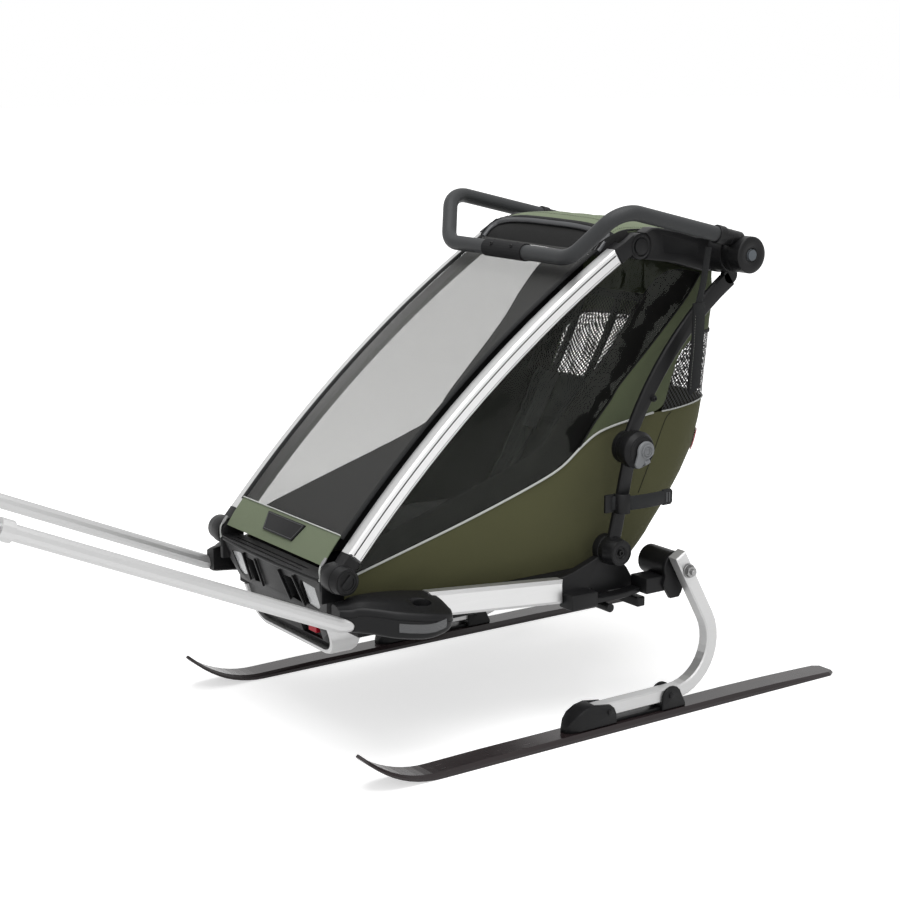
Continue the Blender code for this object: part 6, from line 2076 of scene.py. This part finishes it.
# %% Straps and nuts
LATCH_LEVEL, LATCH_HEIGHT = 0.3775, 0.031
STRAP_LEVEL = LATCH_LEVEL + LATCH_HEIGHT / 2
STRAP_FACE = 0.2388
POST_MIDDLE = 0.1189
BAND = [
    (0.0040, -0.030), (0.0075, -0.020), (0.0150, -0.010), (0.0215, 0.004), (0.0240, 0.030),
    (0.0235, 0.055), (0.0215, 0.078),
]
CLIP = [(0.0010, -0.0235), (0.0150, -0.0215), (0.0215, -0.0120), (0.0225, -0.0040)]
TAB_HALF, TAB_CORNER = 0.0145, 0.004


def on_post(s, out, back, rise=0.0):
    """A point at the rubber strap: out from the post's face, back from its middle, up from the strap's."""
    return at(s * (STRAP_FACE + out), POST_MIDDLE + back, STRAP_LEVEL + rise)


tab_from, tab_to, tab_side = 0.074, 0.0965, TAB_HALF - TAB_CORNER
TAB = [
    (tab_from, -TAB_HALF), (tab_to - TAB_CORNER, -TAB_HALF), (tab_to, -tab_side), (tab_to, tab_side),
    (tab_to - TAB_CORNER, TAB_HALF), (tab_from, TAB_HALF),
]
ANCHOR = [(-0.046, -0.0165), (-0.046, 0.0165), (-0.026, 0.0165), (-0.026, -0.0165)]
SLOT = [(-0.0015, -0.009), (0.0015, -0.009), (0.0015, 0.009), (-0.0015, 0.009)]
for side, s in SIDES:
    out = (s, 0, 0)
    band = smooth([on_post(s, lift, back) for lift, back in BAND], 30)
    section = strap_section(0.026, 0.0045)
    rubber = sweep(f"post_strap_{side}", band, section, out, RUBBER["strap"], "lower_posts")
    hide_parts(f"strap_latch_{side}")
    anchor = [on_post(s, 0.0005, back, rise) for back, rise in ANCHOR]
    moulded_plate(f"strap_anchor_{side}", anchor, out, 0.0055, PLASTIC["black"], "lower_posts", 0.0016)
    clip = smooth([on_post(s, lift, back, -0.001) for lift, back in CLIP], 16)
    sweep(f"strap_clip_{side}", clip, strap_section(0.036, 0.0035), out, PLASTIC["black"], "lower_posts")
    tab = [on_post(s, 0.0185, back, rise) for back, rise in TAB]
    moulded_plate(f"strap_tab_{side}", tab, (s, 0.02, 0), 0.0055, RUBBER["strap"], "lower_posts", 0.0014)
    for k, middle in enumerate((tab_from + 0.0085, tab_from + 0.0145)):
        slot = [on_post(s, 0.0238, middle + back, rise) for back, rise in SLOT]
        moulded_plate(f"strap_slot_{side}_{k}", slot, out, 0.0008, PLASTIC["bow"], "lower_posts", 0.0003)
print("straps at z", round(STRAP_LEVEL, 4))

# %% Nuts and rings
AXLE_NUT = [
    (0.0001, 0.0010), (0.0132, 0.0010), (0.0132, 0.0030), (0.0128, 0.0034), (0.0096, 0.0034),
    (0.0096, 0.0036, 6), (0.0096, 0.0100, 6), (0.0086, 0.0112), (0.0056, 0.0112), (0.0056, 0.0160),
    (0.0048, 0.0168), (0.0001, 0.0168),
]
PIVOT_FACE, CAP_FACE = 0.2603, 0.2641
for side, s in SIDES:
    out = (s, 0, 0)
    nut_place = at(s * 0.3175, *SKI_AXLE)
    turned(f"axle_nut_{side}", AXLE_NUT, nut_place, out, METAL["steel"], f"ski_unit_{side}", 36)
    elbow = at(s * CAP_FACE - s * 0.0004, *ELBOW)
    ring(f"elbow_ring_{side}", elbow, s, (0.0268, 0.0016, 0.0012), dark, "lower_posts")
    pivot = at(s * PIVOT_FACE, *REAR_PIVOT)
    ring(f"rear_ring_{side}", pivot, s, (0.0215, 0.0018, 0.0012), black, "lower_posts")
    ring(f"rear_boss_{side}", pivot, s, (0.0135, 0.0020, 0.0010), black, "lower_posts")
    screw(f"rear_screw_{side}", at(s * PIVOT_FACE - s * 0.003, *REAR_PIVOT), out, 0.0056, "lower_posts")
    foot = at(outer_face(f"pillar_foot_{side}", s) - s * 0.0012, *FOLD_AXLE)
    ring(f"foot_ring_{side}", foot, s, (0.0195, 0.0022, 0.0014), dark, "front_frame")
print("nuts stand out to x", round(0.3175 + AXLE_NUT[-1][1], 4))

# %% [markdown]
# ## Hoop
# The aluminium hoop under the nose is one thick band bent to a U with wide corners, and it leans
# forward with the nose. The nose moulding's own lower corners must stay inside it, so points that stick
# out past the arc are drawn back onto it.

# %% Hoop
HOOP_HALF, HOOP_FOOT, HOOP_TOP = 0.1455, 0.1705, 0.2415
HOOP_BAND, HOOP_CORNER = 0.0095, 0.046
HOOP_BACK = -0.3805
HOOP_SECTION = [
    (-1, 0.10), (-0.72, 0.0), (0.72, 0.0), (1, 0.10), (1, 0.92), (0.72, 1.0), (-0.72, 1.0), (-1, 0.92),
]


def hoop_front(z):
    """Where the hoop's front edge stands at a height."""
    return -0.4255 - NOSE_LEAN * (z - NOSE_FOOT)


middle_half = HOOP_HALF - HOOP_BAND / 2
u_line = [(middle_half, 0, HOOP_TOP), (middle_half, 0, HOOP_FOOT + HOOP_BAND / 2)]
u_line += [(-x, 0, z) for x, _, z in u_line[::-1]]
u_points = bent(u_line, HOOP_CORNER - HOOP_BAND / 2, 14)
rings = []
for k, p in enumerate(u_points):
    along_u = (u_points[min(k + 1, len(u_points) - 1)] - u_points[max(k - 1, 0)]).normalized()
    outward = along_u.cross(Vector((0, 1, 0))).normalized()
    if outward.dot(p - UP * 0.24) < 0:
        outward = -outward
    section = []
    for out, deep in HOOP_SECTION:
        place = p + outward * (out * HOOP_BAND / 2)
        front = hoop_front(place.z)
        section.append(at(place.x, front + (HOOP_BACK - front) * deep, place.z))
    rings.append(section)
hoop = loft("nose_hoop", rings, METAL["pole"], "chassis", 35)
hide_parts("front_hoop")
print("hoop", round(2 * HOOP_HALF, 3), "m wide")

# %% Draw the nose into the hoop
inner_reach = HOOP_CORNER - HOOP_BAND - 0.0006
corner_x, corner_z = HOOP_HALF - HOOP_CORNER, HOOP_FOOT + HOOP_CORNER
last_y = at(0, HOOP_BACK, 0).y + 0.02
for vertex in member.data.vertices:
    dx, dz = abs(vertex.co.x) - corner_x, corner_z - vertex.co.z
    if dx > 0 and dz > 0 and math.hypot(dx, dz) > inner_reach and vertex.co.y < last_y:
        shrink = inner_reach / math.hypot(dx, dz)
        vertex.co.x = math.copysign(corner_x + dx * shrink, vertex.co.x)
        vertex.co.z = corner_z - dz * shrink
print("nose drawn in to", round(inner_reach, 4), "m round the corners")

# %% [markdown]
# A red reflector is riveted to the back cloth on both sides, low where a following light meets it.

# %% Red reflectors
for side, s in SIDES:
    grid = []
    for k in range(5):
        z = 0.4430 + 0.0370 * k / 4
        first, last = [turn_at(z, between(BACK_DEPTH, z) - before) for before in (0.0290, 0.0040)]
        turns = [first + (last - first) * j / 6 for j in range(7)]
        grid.append([on_both(s, back_point(z, turn, 0.0026)) for turn in turns])
    fold_with_cabin(
        sheet_of(f"red_reflector_{side}", grid, REFLECTOR["red"], "chassis", 0.002, back_inward)
    )
print("reflectors on")

# %% [markdown]
# Two screws hold the grip's shell to the bar.

# %% Grip screws
grip_low, grip_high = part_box("grip_sleeve")
grip_middle = (grip_low + grip_high) / 2
grip_radius = (grip_high.y - grip_low.y) / 2
face_way = Vector((0, -0.80, 0.60))
for k, x in enumerate((-0.030, 0.030)):
    place = grip_middle + Vector((x, 0, 0)) + face_way * (grip_radius - 0.0006)
    screw(f"grip_screw_{k}", place, face_way, 0.0036, "push_bar")
print("grip radius", round(grip_radius, 4))
